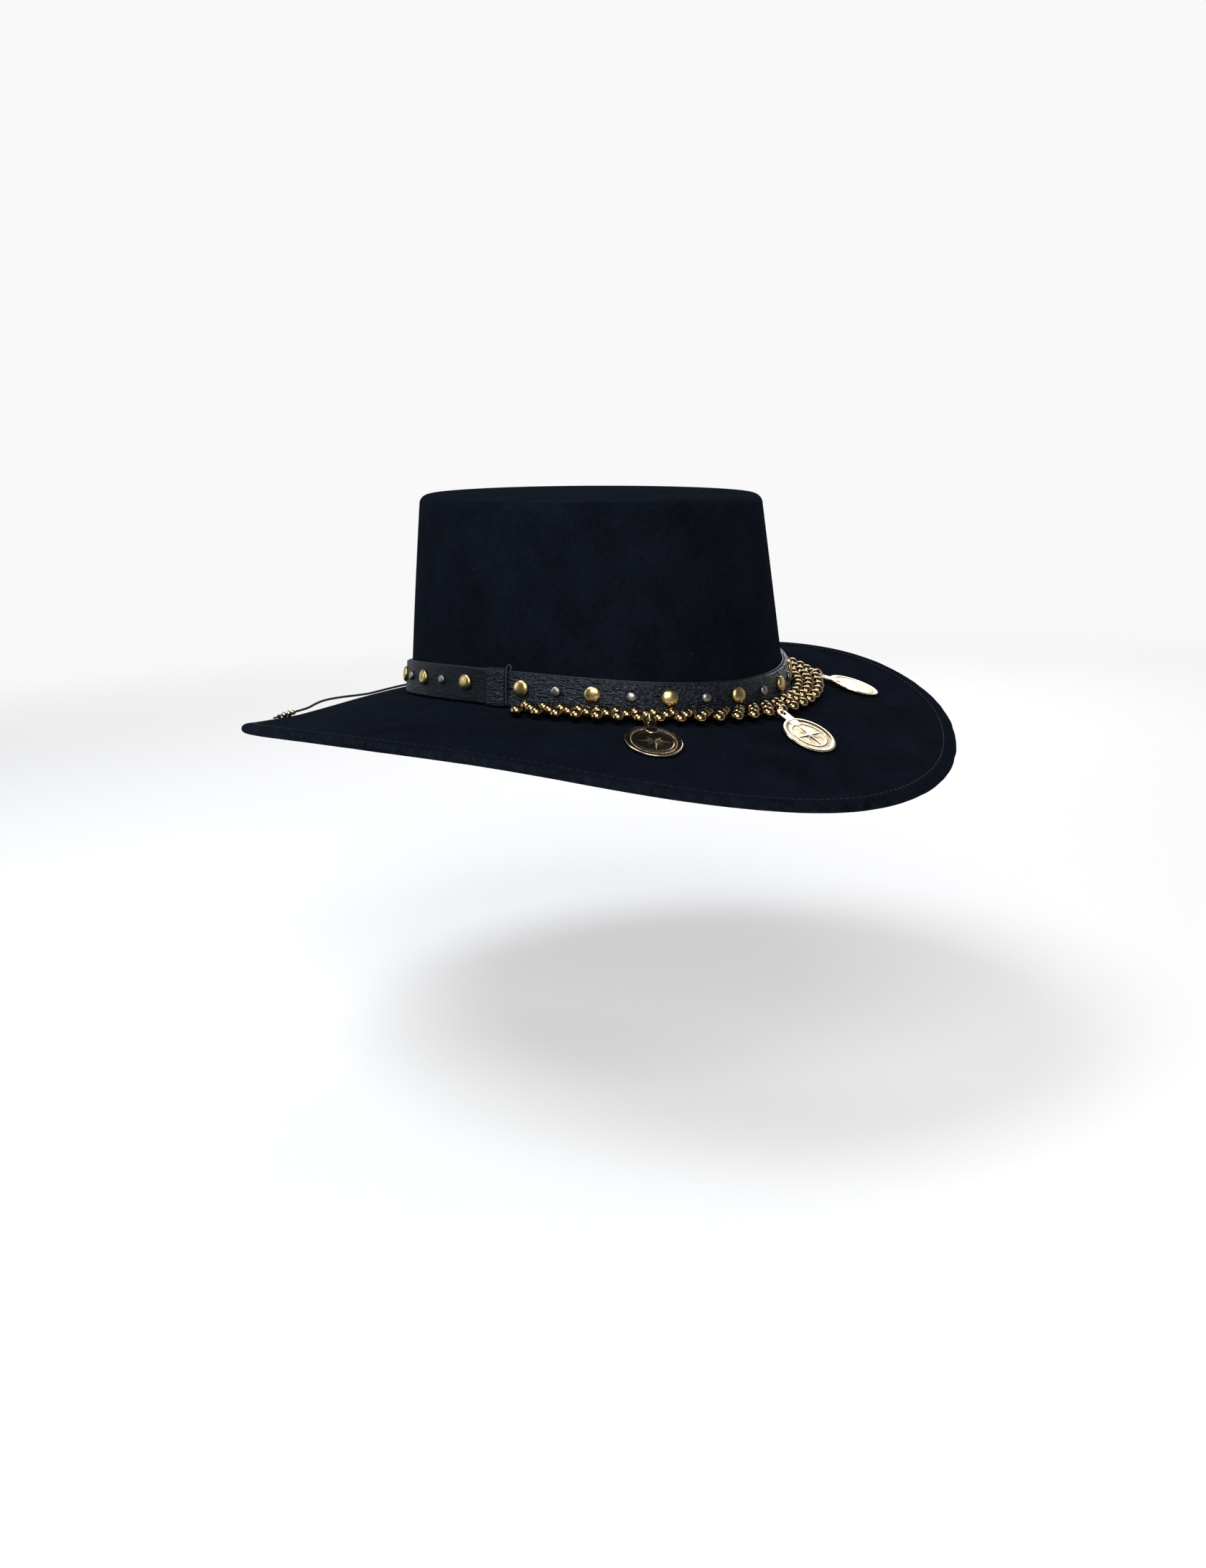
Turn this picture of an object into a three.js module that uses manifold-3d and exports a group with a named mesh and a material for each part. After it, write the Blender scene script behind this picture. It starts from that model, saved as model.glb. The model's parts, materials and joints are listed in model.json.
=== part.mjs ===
// Wide-brimmed costume pirate hat: a flat-topped felt crown on a saddle-shaped brim, a studded
// leather band in two strips, a bead strap across the front with three hanging medallions, and
// a thin lace with sliding beads over the back brim.
//
// Millimetres. +Z is up, -Y is the front of the hat and +X is the wearer's left. The origin is
// the middle of the head opening, level with the mean height of the brim's break.
import * as THREE from "three";
import { mergeVertices } from "three/addons/utils/BufferGeometryUtils.js";
import Module from "manifold-3d";

const wasm = await Module();
wasm.setup();

// ---------------------------------------------------------------- driving dimensions
const CLEARANCE = 0.3; // between pieces that touch

const felt = {
  thickness: 2.5,
  baseLength: 210, // crown at the brim, front to back, outside
  baseWidth: 176,
  topLength: 189,
  topWidth: 154,
  height: 100, // brim break to crown top
  topRake: 3, // the top's back edge is higher than its middle by this, its front edge lower
  topEdge: 5, // radius of the edge round the top
  topDome: 1.2,
  plateau: 30, // radius of the flat middle of the top
  breakRadius: 1.2,
  breakWave: 4.5, // the brim meets the crown higher at the sides, lower at front and back
};
const brim = {
  front: 85.9, // widths from the crown to the edge
  back: 96.5,
  side: 82.6,
  dropFront: 35.5, // the edge lies this far below the origin
  dropBack: 30.4,
  dropSide: -0.3,
  cornerLift: 1.8, // third harmonic of the edge's height
  crestFront: 6.75, // the inner half stands above a straight line from break to edge
  crestBack: 4.2,
  crestSide: -0.9,
  dipFront: 2.2, // the outer half hangs below that line
  dipBack: 0.9,
  dipSide: 0.3,
  foldWidth: 7, // the edge is folded over and stitched
  foldThickness: 4.8,
};
const band = {
  height: 16,
  thickness: 1.6,
  backing: 0.8, // thin strip that the studded strips are stitched to
  backingShow: 0.4, // how far the backing shows below and above them
  lift: 1.1, // bottom edge above the brim's break
};
const keeper = { angle: 80, width: 9, thickness: 1.5 }; // angle from the front, in degrees
const tie = { diameter: 0.9, gap: 0.5, loop: 3.2 }; // cord round the band beside each keeper
const stud = {
  frontPitch: 18.1, // along the front strip; large and small studs alternate
  rearPitch: 19,
  shift: 3.4, // of each strip's middle stud, to the left at the front and to the right at the back
  below: 6.8, // centre of the studs below the band's top edge
  largeDiameter: 8,
  largeHeight: 1.7,
  smallDiameter: 4.8,
  smallHeight: 1.3,
  tang: 1.4, // width of the square tang that goes through the strip
  tangSlot: 2.2,
};
const beads = {
  diameter: 6,
  spacer: 3.1, // bare thread between two beads of a row
  rowGap: 0.83, // between a bead and the beads beside it in the next row
  thread: 1.0,
  end: 69.5, // bearing of the strap's ends
};
const ring = { radius: 2.9, wire: 0.9, lift: 0.5, hang: 20 }; // hang: degrees below level
const medallion = {
  diameter: 26,
  thickness: 1.3,
  rimWidth: 1.6,
  rimHeight: 0.35,
  tabWidth: 5.6,
  tabThickness: 1.2,
  slotWidth: 2.6,
  slotLength: 3.4,
  tabBar: 1.3, // material between the slot and the end of the tab
  reach: 3.1, // from the slot's outer end to the disc
  bearing: [-38, -2.5, 43], // degrees round the front of the hat
};
const sweatband = { height: 36, thickness: 1.2, bottom: 1.5 };
const lining = { thickness: 0.8, bottom: 30 };
const bow = { width: 15, height: 7, thickness: 1.4 };
const lace = {
  diameter: 1.3,
  points: [
    [0, 108.6, -2.2],
    [-1, 112.5, -3.1],
    [-6, 120, -4.3],
    [-14, 126, -5.4],
    [-25, 129.8, -6.4],
    [-36, 131.1, -7.2],
    [-44.7, 132.2, -7.9],
    [-51.6, 132.8, -7.8],
    [-61.5, 133.4, -7.4],
    [-69.2, 133.8, -7.3],
    [-75.1, 134.1, -7.6],
    [-80.4, 134.4, -8.6],
    [-85.1, 134.8, -10.1],
    [-93.3, 135.6, -11.05],
    [-101.5, 136.4, -12],
  ],
};
const laceBeads = { diameter: [3.4, 3.4, 2.8], length: [2.6, 2.6, 2.0], bore: 2.1 };

const RAD = Math.PI / 180;
const SIDES = 48; // steps round the crown and the brim

// ---------------------------------------------------------------- materials
const material = (color, roughness, metalness = 0) =>
  new THREE.MeshStandardMaterial({ color, roughness, metalness });
const feltBlack = material(0x0b0d18, 0.95);
const satinBlack = material(0x141420, 0.45);
const leatherBlack = material(0x0e0f14, 0.5);
const laceBlack = material(0x0a0a0a, 0.6);
const brass = material(0xc9a24a, 0.3, 1);
const paleGold = material(0xe0c48c, 0.25, 1);
const bronzeGold = material(0x8a6a35, 0.22, 1);
const gunmetal = material(0x6c6a68, 0.35, 1);

// ---------------------------------------------------------------- the hat's own surfaces
// A point of an ellipse round the crown. The angle starts at the front and turns to +X.
const around = (angle, halfLength, halfWidth, shift = 0) =>
  new THREE.Vector3(halfWidth * Math.sin(angle), shift - halfLength * Math.cos(angle), 0);

const breakHeight = (angle) => -felt.breakWave * Math.cos(2 * angle);

const wallSlope = {
  length: (felt.baseLength - felt.topLength) / 2 / felt.height,
  width: (felt.baseWidth - felt.topWidth) / 2 / felt.height,
};

// A point at a height and a distance outside the crown's outer wall.
function onWall(angle, z, outside = 0) {
  const p = around(
    angle,
    felt.baseLength / 2 - wallSlope.length * z + outside,
    felt.baseWidth / 2 - wallSlope.width * z + outside,
  );
  p.z = z;
  return p;
}

// A smooth value round the brim from its values at the front, the back and both sides.
function blend(angle, front, back, side) {
  const ends = (front + back) / 2;
  const waves = ((front - back) / 2) * Math.cos(angle) + ((ends - side) / 2) * Math.cos(2 * angle);
  return (ends + side) / 2 + waves;
}

// The brim's middle surface: t is 0 at the crown's wall and 1 at the edge.
function onBrim(angle, t) {
  const inner = onWall(angle, 0);
  const halfLength = (felt.baseLength + brim.front + brim.back) / 2;
  const outer = around(angle, halfLength, felt.baseWidth / 2 + brim.side, (brim.back - brim.front) / 2);
  const corner = brim.cornerLift * (Math.cos(angle) - Math.cos(3 * angle));
  const edgeHeight = corner - blend(angle, brim.dropFront, brim.dropBack, brim.dropSide);
  const crest = blend(angle, brim.crestFront, brim.crestBack, brim.crestSide);
  const dip = blend(angle, brim.dipFront, brim.dipBack, brim.dipSide);
  const start = breakHeight(angle) - felt.thickness / 2;
  const p = inner.lerp(outer, t);
  const bulge = (crest * (1 - t) - dip * t) * t * (1 - t) * (27 / 4);
  p.z = start + (edgeHeight - start) * t + bulge;
  return p;
}

const brimWidth = (angle) => onBrim(angle, 0).setZ(0).distanceTo(onBrim(angle, 1).setZ(0));

// A point above the brim's top surface, at a plan distance outside the crown's wall.
function aboveBrim(angle, distance, height) {
  const p = onBrim(angle, distance / brimWidth(angle));
  p.z += felt.thickness / 2 + height;
  return p;
}

// ---------------------------------------------------------------- mesh helpers
// Six times the volume inside a skin of triangles, negative when its faces point inwards.
function signedVolume(points, triangles) {
  let volume = 0;
  for (let i = 0; i < triangles.length; i += 3) {
    const [a, b, c] = [points[triangles[i]], points[triangles[i + 1]], points[triangles[i + 2]]];
    volume += new THREE.Vector3().crossVectors(a, b).dot(c);
  }
  return volume;
}

function geometryOf(points, triangles) {
  if (signedVolume(points, triangles) < 0) triangles.reverse();
  const geometry = new THREE.BufferGeometry();
  const numbers = points.flatMap((p) => p.toArray());
  geometry.setAttribute("position", new THREE.Float32BufferAttribute(numbers, 3));
  geometry.setIndex(triangles);
  geometry.computeVertexNormals();
  return geometry;
}

// A closed skin through rings of points. Each ring has as many points as the others. The skin
// is capped at both ends with a fan round the ring's middle, or closes on itself.
function loft(rings, closed = false) {
  const sides = rings[0].length;
  const points = rings.flat();
  const triangles = [];
  const last = closed ? rings.length : rings.length - 1;
  for (let i = 0; i < last; i++)
    for (let j = 0; j < sides; j++) {
      const a = i * sides + j;
      const b = i * sides + ((j + 1) % sides);
      const c = ((i + 1) % rings.length) * sides + j;
      const d = ((i + 1) % rings.length) * sides + ((j + 1) % sides);
      triangles.push(a, b, c, b, d, c);
    }
  if (!closed)
    for (const [ring, flip] of [[0, true], [rings.length - 1, false]]) {
      const middle = points.length;
      const centre = new THREE.Vector3();
      for (const p of rings[ring]) centre.addScaledVector(p, 1 / sides);
      points.push(centre);
      for (let j = 0; j < sides; j++) {
        const a = ring * sides + j;
        const b = ring * sides + ((j + 1) % sides);
        triangles.push(...(flip ? [middle, b, a] : [middle, a, b]));
      }
    }
  return geometryOf(points, triangles);
}

// A ring of points round the crown, from a function of the angle.
const ringOf = (place) =>
  Array.from({ length: SIDES }, (_, i) => place((i / SIDES) * 2 * Math.PI));

function solidOf(geometry) {
  const g = geometry.clone();
  g.deleteAttribute("normal");
  g.deleteAttribute("uv");
  const merged = mergeVertices(g, 1e-4);
  return new wasm.Manifold(
    new wasm.Mesh({
      numProp: 3,
      vertProperties: new Float32Array(merged.attributes.position.array),
      triVerts: new Uint32Array(merged.index.array),
    }),
  );
}

function geometryFrom(solid) {
  const mesh = solid.getMesh();
  const geometry = new THREE.BufferGeometry();
  geometry.setAttribute("position", new THREE.BufferAttribute(mesh.vertProperties, 3));
  geometry.setIndex(new THREE.BufferAttribute(mesh.triVerts, 1));
  geometry.computeVertexNormals();
  return geometry;
}

function cut(body, ...tools) {
  let solid = solidOf(body);
  for (const tool of tools) solid = solid.subtract(solidOf(tool));
  return geometryFrom(solid);
}

const hat = new THREE.Group();

function add(name, geometry, finish, parent = hat) {
  const mesh = new THREE.Mesh(geometry, finish);
  mesh.name = name;
  parent.add(mesh);
  return mesh;
}

// ---------------------------------------------------------------- felt crown and brim
// Height of the crown's top at a plan point, before its dome.
const topHeight = (y) => felt.height + (felt.topRake * y) / (felt.topLength / 2);

// Where the wall ends and the round edge of the top begins.
const wallTop = (angle) => topHeight(around(angle, felt.topLength / 2, 0).y) - felt.topEdge;

// A ring on the crown's top: inset from the wall, and lowered.
function topRing(inset, lowered) {
  return ringOf((angle) => {
    const p = onWall(angle, wallTop(angle), -inset);
    p.z = topHeight(p.y) - lowered;
    return p;
  });
}

function wallRing(share, inset) {
  return ringOf((angle) => {
    const foot = breakHeight(angle) + felt.breakRadius;
    return onWall(angle, foot + (wallTop(angle) - foot) * share, -inset);
  });
}

function plateauRing(depth) {
  return ringOf((angle) => {
    const p = around(angle, felt.plateau, felt.plateau);
    p.z = topHeight(p.y) + felt.topDome - depth;
    return p;
  });
}

// Half the brim's thickness: the folded edge is thicker and ends in a round.
function halfThickness(distanceIn) {
  const { foldWidth, foldThickness } = brim;
  if (distanceIn >= foldWidth) return felt.thickness / 2;
  const rise = Math.min(1, (foldWidth - distanceIn) / 1.2);
  const flat = felt.thickness / 2 + ((foldThickness - felt.thickness) / 2) * rise;
  const round = foldThickness / 2;
  if (distanceIn >= round) return flat;
  return Math.sqrt(round ** 2 - (round - distanceIn) ** 2);
}

function brimRing(distanceIn, side) {
  return ringOf((angle) => {
    const p = onBrim(angle, 1 - distanceIn / brimWidth(angle));
    p.z += side * halfThickness(distanceIn);
    return p;
  });
}

function brimShareRing(t, side) {
  return ringOf((angle) => {
    const p = onBrim(angle, t);
    p.z += (side * felt.thickness) / 2;
    return p;
  });
}

function feltBody() {
  const { thickness, topEdge, topDome, breakRadius } = felt;
  const edgeArc = (radius, inset) =>
    [0, 30, 60, 90].map((turn) =>
      topRing(
        inset + radius - radius * Math.sin(turn * RAD),
        inset + radius - radius * Math.cos(turn * RAD),
      ),
    );
  const breakArc = [60, 20].map((turn) =>
    ringOf((angle) => {
      const out = breakRadius * (1 - Math.cos((90 - turn) * RAD));
      const p = onWall(angle, breakHeight(angle), out);
      p.z += breakRadius * (1 - Math.sin((90 - turn) * RAD));
      return p;
    }),
  );
  const folded = [brim.foldWidth, brim.foldWidth - 1.2, 3, 1, 0.25];
  const rings = [
    plateauRing(0),
    topRing(felt.topWidth / 5, -topDome * 0.75),
    ...edgeArc(topEdge, 0),
    wallRing(0.7, 0),
    wallRing(0.35, 0),
    wallRing(0, 0),
    ...breakArc,
    ...[0.06, 0.16, 0.28, 0.42, 0.6, 0.78].map((t) => brimShareRing(t, 1)),
    ...folded.map((d) => brimRing(d, 1)),
    brimRing(0, 0),
    ...[...folded].reverse().map((d) => brimRing(d, -1)),
    ...[0.7, 0.42, 0.2, 0.06].map((t) => brimShareRing(t, -1)),
    ringOf((angle) => onWall(angle, breakHeight(angle) - thickness, -thickness + breakRadius)),
    ringOf((angle) => onWall(angle, breakHeight(angle) - thickness + breakRadius, -thickness)),
    wallRing(0.35, thickness),
    wallRing(0.7, thickness),
    ...edgeArc(topEdge - thickness, thickness).reverse(),
    plateauRing(thickness + topDome),
  ];
  return loft(rings);
}

// ---------------------------------------------------------------- inside the crown
function liningCup() {
  const inset = felt.thickness + CLEARANCE;
  const cupRing = (z, extra) => ringOf((angle) => onWall(angle, z, -inset - extra));
  const roof = (edge, extra) => topRing(edge, inset + extra);
  const high = felt.height - felt.topEdge - felt.topRake - inset;
  const corner = felt.topEdge + inset;
  return loft([
    roof(corner + 30, 0),
    roof(corner, 0),
    cupRing(high, 0),
    cupRing(lining.bottom, 0),
    cupRing(lining.bottom, lining.thickness),
    cupRing(high - 1, lining.thickness),
    roof(corner + 1, lining.thickness),
    roof(corner + 30, lining.thickness),
  ]);
}

// A leather strip stitched in at the break. Its upper part stands inside the lining's hem.
function sweatbandRing() {
  const { bottom, height, thickness } = sweatband;
  const at = (z, inset) => ringOf((angle) => onWall(angle, breakHeight(angle) + z, -inset));
  const foot = felt.thickness + CLEARANCE;
  const behindLining = foot + lining.thickness + CLEARANCE;
  const hem = lining.bottom - felt.breakWave - CLEARANCE;
  return loft(
    [
      at(bottom, foot),
      at(bottom, foot + thickness),
      at(hem - 8, behindLining + thickness),
      at(bottom + height, behindLining + thickness),
      at(bottom + height, behindLining),
      at(hem - 8, behindLining),
    ],
    true,
  );
}

// A small flat ribbon bow on the sweatband, at the wearer's left.
function sweatbandBow() {
  const [w, h] = [bow.width / 2, bow.height / 2];
  const outline = new THREE.Shape(
    [
      [-w, -h],
      [-1.4, -h * 0.4],
      [1.4, -h * 0.4],
      [w, -h],
      [w, h],
      [1.4, h * 0.4],
      [-1.4, h * 0.4],
      [-w, h],
    ].map(([x, y]) => new THREE.Vector2(x, y)),
  );
  const solid = new THREE.ExtrudeGeometry(outline, { depth: bow.thickness, bevelEnabled: false });
  const inset =
    felt.thickness + lining.thickness + sweatband.thickness + CLEARANCE * 4 + bow.thickness;
  return solid.applyMatrix4(frameOnWall(90, sweatband.bottom + sweatband.height * 0.7, -inset));
}

// ---------------------------------------------------------------- hatband
// A strip round part of the crown: from and to are angles in degrees.
function strip(from, to, inside, thickness, low, high, steps) {
  const rings = [];
  for (let i = 0; i <= steps; i++) {
    const angle = (from + ((to - from) * i) / steps) * RAD;
    const base = breakHeight(angle) + band.lift;
    rings.push([
      onWall(angle, base + low, inside),
      onWall(angle, base + high, inside),
      onWall(angle, base + high, inside + thickness),
      onWall(angle, base + low, inside + thickness),
    ]);
  }
  return loft(rings);
}

const backingInside = CLEARANCE;
const stripInside = backingInside + band.backing + CLEARANCE;
const stripOutside = stripInside + band.thickness;
const studHeight = band.lift + band.height - stud.below;

function backingBand() {
  const rings = [];
  const steps = SIDES;
  for (let i = 0; i < steps; i++) {
    const angle = (i / steps) * 2 * Math.PI;
    const base = breakHeight(angle) + band.lift;
    const [low, high] = [-band.backingShow + CLEARANCE, band.height + band.backingShow];
    rings.push([
      onWall(angle, base + low, backingInside),
      onWall(angle, base + high, backingInside),
      onWall(angle, base + high, backingInside + band.backing),
      onWall(angle, base + low, backingInside + band.backing),
    ]);
  }
  return loft(rings, true);
}

// The half angle, in degrees, that a width takes up at a bearing on the band.
function halfAngle(bearing, width) {
  const step = 0.5;
  const length = onWall((bearing - step) * RAD, 0, stripOutside).distanceTo(
    onWall((bearing + step) * RAD, 0, stripOutside),
  );
  return (width / 2 / length) * 2 * step;
}

// Where a piece sits on the crown's wall: z out of the wall, y up it, x along it.
function frameOnWall(bearing, up, outside) {
  const angle = bearing * RAD;
  const z = breakHeight(angle) + up;
  const place = onWall(angle, z, outside);
  const along = onWall(angle + 0.01, z, outside).sub(onWall(angle - 0.01, z, outside)).normalize();
  const upWall = onWall(angle, z + 1, outside).sub(place).normalize();
  const out = new THREE.Vector3().crossVectors(along, upWall).normalize();
  upWall.crossVectors(out, along);
  return new THREE.Matrix4().makeBasis(along, upWall, out).setPosition(place);
}

// Angles of the stud places, evenly spaced along the outer face of each strip.
function studPlaces() {
  const fine = 3600;
  const lengths = [0];
  let before = onWall(0, 0, stripOutside);
  for (let i = 1; i <= fine; i++) {
    const here = onWall((i / fine) * 2 * Math.PI, 0, stripOutside);
    lengths.push(lengths[i - 1] + here.distanceTo(before));
    before = here;
  }
  const round = lengths[fine];
  const bearingAt = (length) => {
    const wanted = (length + round) % round;
    const degrees = (lengths.findIndex((reached) => reached >= wanted) / fine) * 360;
    return degrees > 180 ? degrees - 360 : degrees;
  };
  const strip = (middle, pitch, largeMiddle, isOn) => {
    const most = Math.floor(round / 4 / pitch) + 1;
    return Array.from({ length: most * 2 + 1 }, (_, i) => i - most)
      .map((k) => ({
        bearing: bearingAt(middle + stud.shift + k * pitch),
        large: (k % 2 === 0) === largeMiddle,
      }))
      .filter(({ bearing }) => isOn(Math.abs(bearing)));
  };
  return [
    ...strip(0, stud.frontPitch, false, (bearing) => bearing < keeper.angle),
    ...strip(round / 2, stud.rearPitch, true, (bearing) => bearing > keeper.angle),
  ];
}

// Half angles at the keepers: the keeper's own, and that of the tie cord with a gap each side.
const keeperHalf = halfAngle(keeper.angle, keeper.width);
const tieHalf = halfAngle(keeper.angle, tie.diameter + tie.gap * 2);

// The places that a keeper or its tie cord would cover have no stud.
const places = studPlaces()
  .filter(({ bearing, large }) => {
    const reach = halfAngle(bearing, large ? stud.largeDiameter : stud.smallDiameter);
    const before = keeper.angle - Math.abs(bearing);
    const covered = before > 0 ? keeperHalf + tieHalf * 2 : keeperHalf + tieHalf;
    return Math.abs(before) > covered + reach;
  })
  .sort((p, q) => p.bearing - q.bearing);

function slotFor(bearing) {
  const slot = new THREE.BoxGeometry(stud.tangSlot, stud.tangSlot, band.thickness * 3);
  return slot.applyMatrix4(frameOnWall(bearing, studHeight, stripInside + band.thickness / 2));
}

function studdedStrip(from, to, steps) {
  const body = strip(from, to, stripInside, band.thickness, 0, band.height, steps);
  const middle = (from + to) / 2;
  const inStrip = ({ bearing }) => {
    const turned = bearing < middle - 180 ? bearing + 360 : bearing;
    return turned > from && turned < to;
  };
  return cut(body, ...places.filter(inStrip).map(({ bearing }) => slotFor(bearing)));
}

function studShape(diameter, height) {
  const r = diameter / 2;
  const half = stud.tang / Math.SQRT2;
  const deep = CLEARANCE + band.thickness;
  const dome = new THREE.LatheGeometry(
    [
      [0, 0],
      [r, 0],
      [r, height * 0.3],
      [r * 0.62, height * 0.85],
      [0, height],
    ].map(([x, y]) => new THREE.Vector2(x, y)),
    8,
  ).rotateX(Math.PI / 2);
  const tang = new THREE.CylinderGeometry(half, half, deep + height * 0.3, 4);
  tang.rotateY(Math.PI / 4).rotateX(Math.PI / 2).translate(0, 0, (height * 0.3 - deep) / 2);
  return geometryFrom(solidOf(dome).add(solidOf(tang)));
}

function addStuds() {
  const large = studShape(stud.largeDiameter, stud.largeHeight);
  const small = studShape(stud.smallDiameter, stud.smallHeight);
  const count = { gold_stud: 0, small_stud: 0 };
  for (const place of places) {
    const kind = place.large ? "gold_stud" : "small_stud";
    count[kind] += 1;
    const name = `${kind}_${String(count[kind]).padStart(2, "0")}`;
    const mesh = add(name, place.large ? large : small, place.large ? brass : gunmetal);
    mesh.applyMatrix4(frameOnWall(place.bearing, studHeight, stripOutside + CLEARANCE));
  }
}

// A leather sleeve that wraps over the band where the two strips meet.
function keeperSleeve(bearing) {
  const inside = stripOutside + CLEARANCE;
  const wrap = band.backingShow + CLEARANCE;
  return strip(
    bearing - keeperHalf,
    bearing + keeperHalf,
    inside,
    keeper.thickness,
    -band.backingShow + CLEARANCE,
    band.height + wrap,
    4,
  );
}

// A cord tied round the strip, with a small loop standing up at the top edge.
function tieCord(bearing) {
  const inside = stripOutside + CLEARANCE + tie.diameter / 2;
  const frame = frameOnWall(bearing, band.lift, inside);
  const top = band.height + band.backingShow;
  const route = [
    [0, tie.diameter * 0.7, 0],
    [0, top * 0.3, 0],
    [0, top * 0.7, 0],
    [0, top, 0],
    [0.4, top + tie.loop * 0.75, -0.3],
    [1.6, top + tie.loop, -0.4],
    [2.6, top + tie.loop * 0.6, -0.3],
    [2.6, top + 0.9, 0],
  ].map(([x, y, z]) => new THREE.Vector3(x, y, z).applyMatrix4(frame));
  return tube(route, tie.diameter, 6, 14);
}

// ---------------------------------------------------------------- cords and beads
function section(diameter, sides) {
  const shape = new THREE.Shape();
  for (let i = 0; i < sides; i++) {
    const turn = (i / sides) * 2 * Math.PI;
    const [x, y] = [(diameter / 2) * Math.cos(turn), (diameter / 2) * Math.sin(turn)];
    if (i === 0) shape.moveTo(x, y);
    else shape.lineTo(x, y);
  }
  return shape;
}

function tube(route, diameter, sides, steps) {
  const path = new THREE.CatmullRomCurve3(route, false, "centripetal");
  return new THREE.ExtrudeGeometry(section(diameter, sides), { steps, extrudePath: path });
}

// Plan distance of a bead row from the crown's wall, and a point of the row.
const beadPitch = beads.diameter + beads.spacer;
const rowPitch = Math.sqrt((beads.diameter + beads.rowGap) ** 2 - (beadPitch / 2) ** 2);
const rowDistance = (row) =>
  stripOutside + CLEARANCE * 2 + beads.diameter / 2 + row * rowPitch;
const onRow = (row, bearing) =>
  aboveBrim(bearing * RAD, rowDistance(row), CLEARANCE + beads.diameter / 2);

// Bearings evenly spaced along the middle row, half a bead apart, from one end to the other.
function beadBearings() {
  const step = 0.25;
  const bearings = [-beads.end];
  let length = 0;
  for (let bearing = -beads.end; bearing < beads.end; bearing += step) {
    length += onRow(1, bearing).distanceTo(onRow(1, bearing + step));
    if (length >= (bearings.length * beadPitch) / 2) bearings.push(bearing + step);
  }
  return bearings;
}
const halfPitches = beadBearings();

// One row of the bead strap: round beads on a thread that follows the brim beside the band.
// The middle row's beads lie between those of the rows beside it.
function beadRow(row) {
  const rings = [];
  const ringAt = (bearing, along, radius) => {
    const ahead = onRow(row, bearing + 0.5).sub(onRow(row, bearing - 0.5)).normalize();
    const side = new THREE.Vector3().crossVectors(ahead, new THREE.Vector3(0, 0, 1)).normalize();
    const up = new THREE.Vector3().crossVectors(side, ahead);
    const middle = onRow(row, bearing).addScaledVector(ahead, along);
    rings.push(
      Array.from({ length: 6 }, (_, i) => {
        const turn = (i / 6) * 2 * Math.PI;
        return middle
          .clone()
          .addScaledVector(side, radius * Math.cos(turn))
          .addScaledVector(up, radius * Math.sin(turn));
      }),
    );
  };
  const r = beads.diameter / 2;
  const own = halfPitches.filter((_, i) => i % 2 === row % 2);
  ringAt(own[0], -r - 0.6, beads.thread / 2);
  for (const bearing of own) {
    ringAt(bearing, -r, beads.thread / 2);
    ringAt(bearing, 0, r);
    ringAt(bearing, r, beads.thread / 2);
  }
  ringAt(own[own.length - 1], r + 0.6, beads.thread / 2);
  return loft(rings);
}

// ---------------------------------------------------------------- medallions
// A frame at a point of the outer bead row: x level and outwards from the crown, z up.
function frameOnRow(bearing) {
  const origin = onRow(2, bearing);
  const along = onRow(2, bearing + 1).sub(onRow(2, bearing - 1)).setZ(0).normalize();
  const up = new THREE.Vector3(0, 0, 1);
  const out = new THREE.Vector3().crossVectors(along, up);
  return new THREE.Matrix4().makeBasis(out, along, up).setPosition(origin);
}

// Height of the brim's top surface at a plan point.
function brimHeightAt(point) {
  let angle = Math.atan2(point.x / felt.baseWidth, -point.y / felt.baseLength);
  let t = 0;
  for (let i = 0; i < 6; i++) {
    const inner = onBrim(angle, 0).setZ(0);
    const along = onBrim(angle, 1).setZ(0).sub(inner);
    const from = point.clone().setZ(0).sub(inner);
    t = from.dot(along) / along.lengthSq();
    const aside = along.clone().cross(from).z / along.length();
    angle += aside / inner.addScaledVector(along, t).length();
  }
  return onBrim(angle, t).z + felt.thickness / 2;
}

function medallionShape() {
  const { diameter, thickness, rimWidth, rimHeight, tabWidth, tabThickness, slotWidth } = medallion;
  const r = diameter / 2;
  const centre = coinCentre;
  const half = thickness / 2;
  const disc = new THREE.LatheGeometry(
    [
      [0, -half],
      [r, -half],
      [r, half],
      [r - rimWidth, half],
      [r - rimWidth - 0.3, half - rimHeight],
      [0, half - rimHeight],
    ].map(([x, y]) => new THREE.Vector2(x, y)),
    28,
  ).rotateX(Math.PI / 2).translate(centre, 0, 0);
  const tab = new THREE.Shape();
  const inner = -medallion.slotLength / 2 - medallion.tabBar + tabWidth / 2;
  tab.moveTo(centre - r + 1.5, -tabWidth / 2);
  tab.lineTo(centre - r + 1.5, tabWidth / 2);
  tab.lineTo(inner, tabWidth / 2);
  tab.absarc(inner, 0, tabWidth / 2, Math.PI / 2, Math.PI * 1.5, false);
  const slot = new THREE.Path();
  const end = (medallion.slotLength - slotWidth) / 2;
  slot.absarc(end, 0, slotWidth / 2, -Math.PI / 2, Math.PI / 2, false);
  slot.absarc(-end, 0, slotWidth / 2, Math.PI / 2, Math.PI * 1.5, false);
  tab.holes.push(slot);
  const tabBody = new THREE.ExtrudeGeometry(tab, {
    depth: tabThickness,
    bevelEnabled: false,
    curveSegments: 5,
  }).translate(0, 0, -tabThickness / 2);
  return geometryFrom(solidOf(disc).add(solidOf(tabBody)));
}

const coinCentre = medallion.slotLength / 2 + medallion.reach + medallion.diameter / 2;

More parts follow.
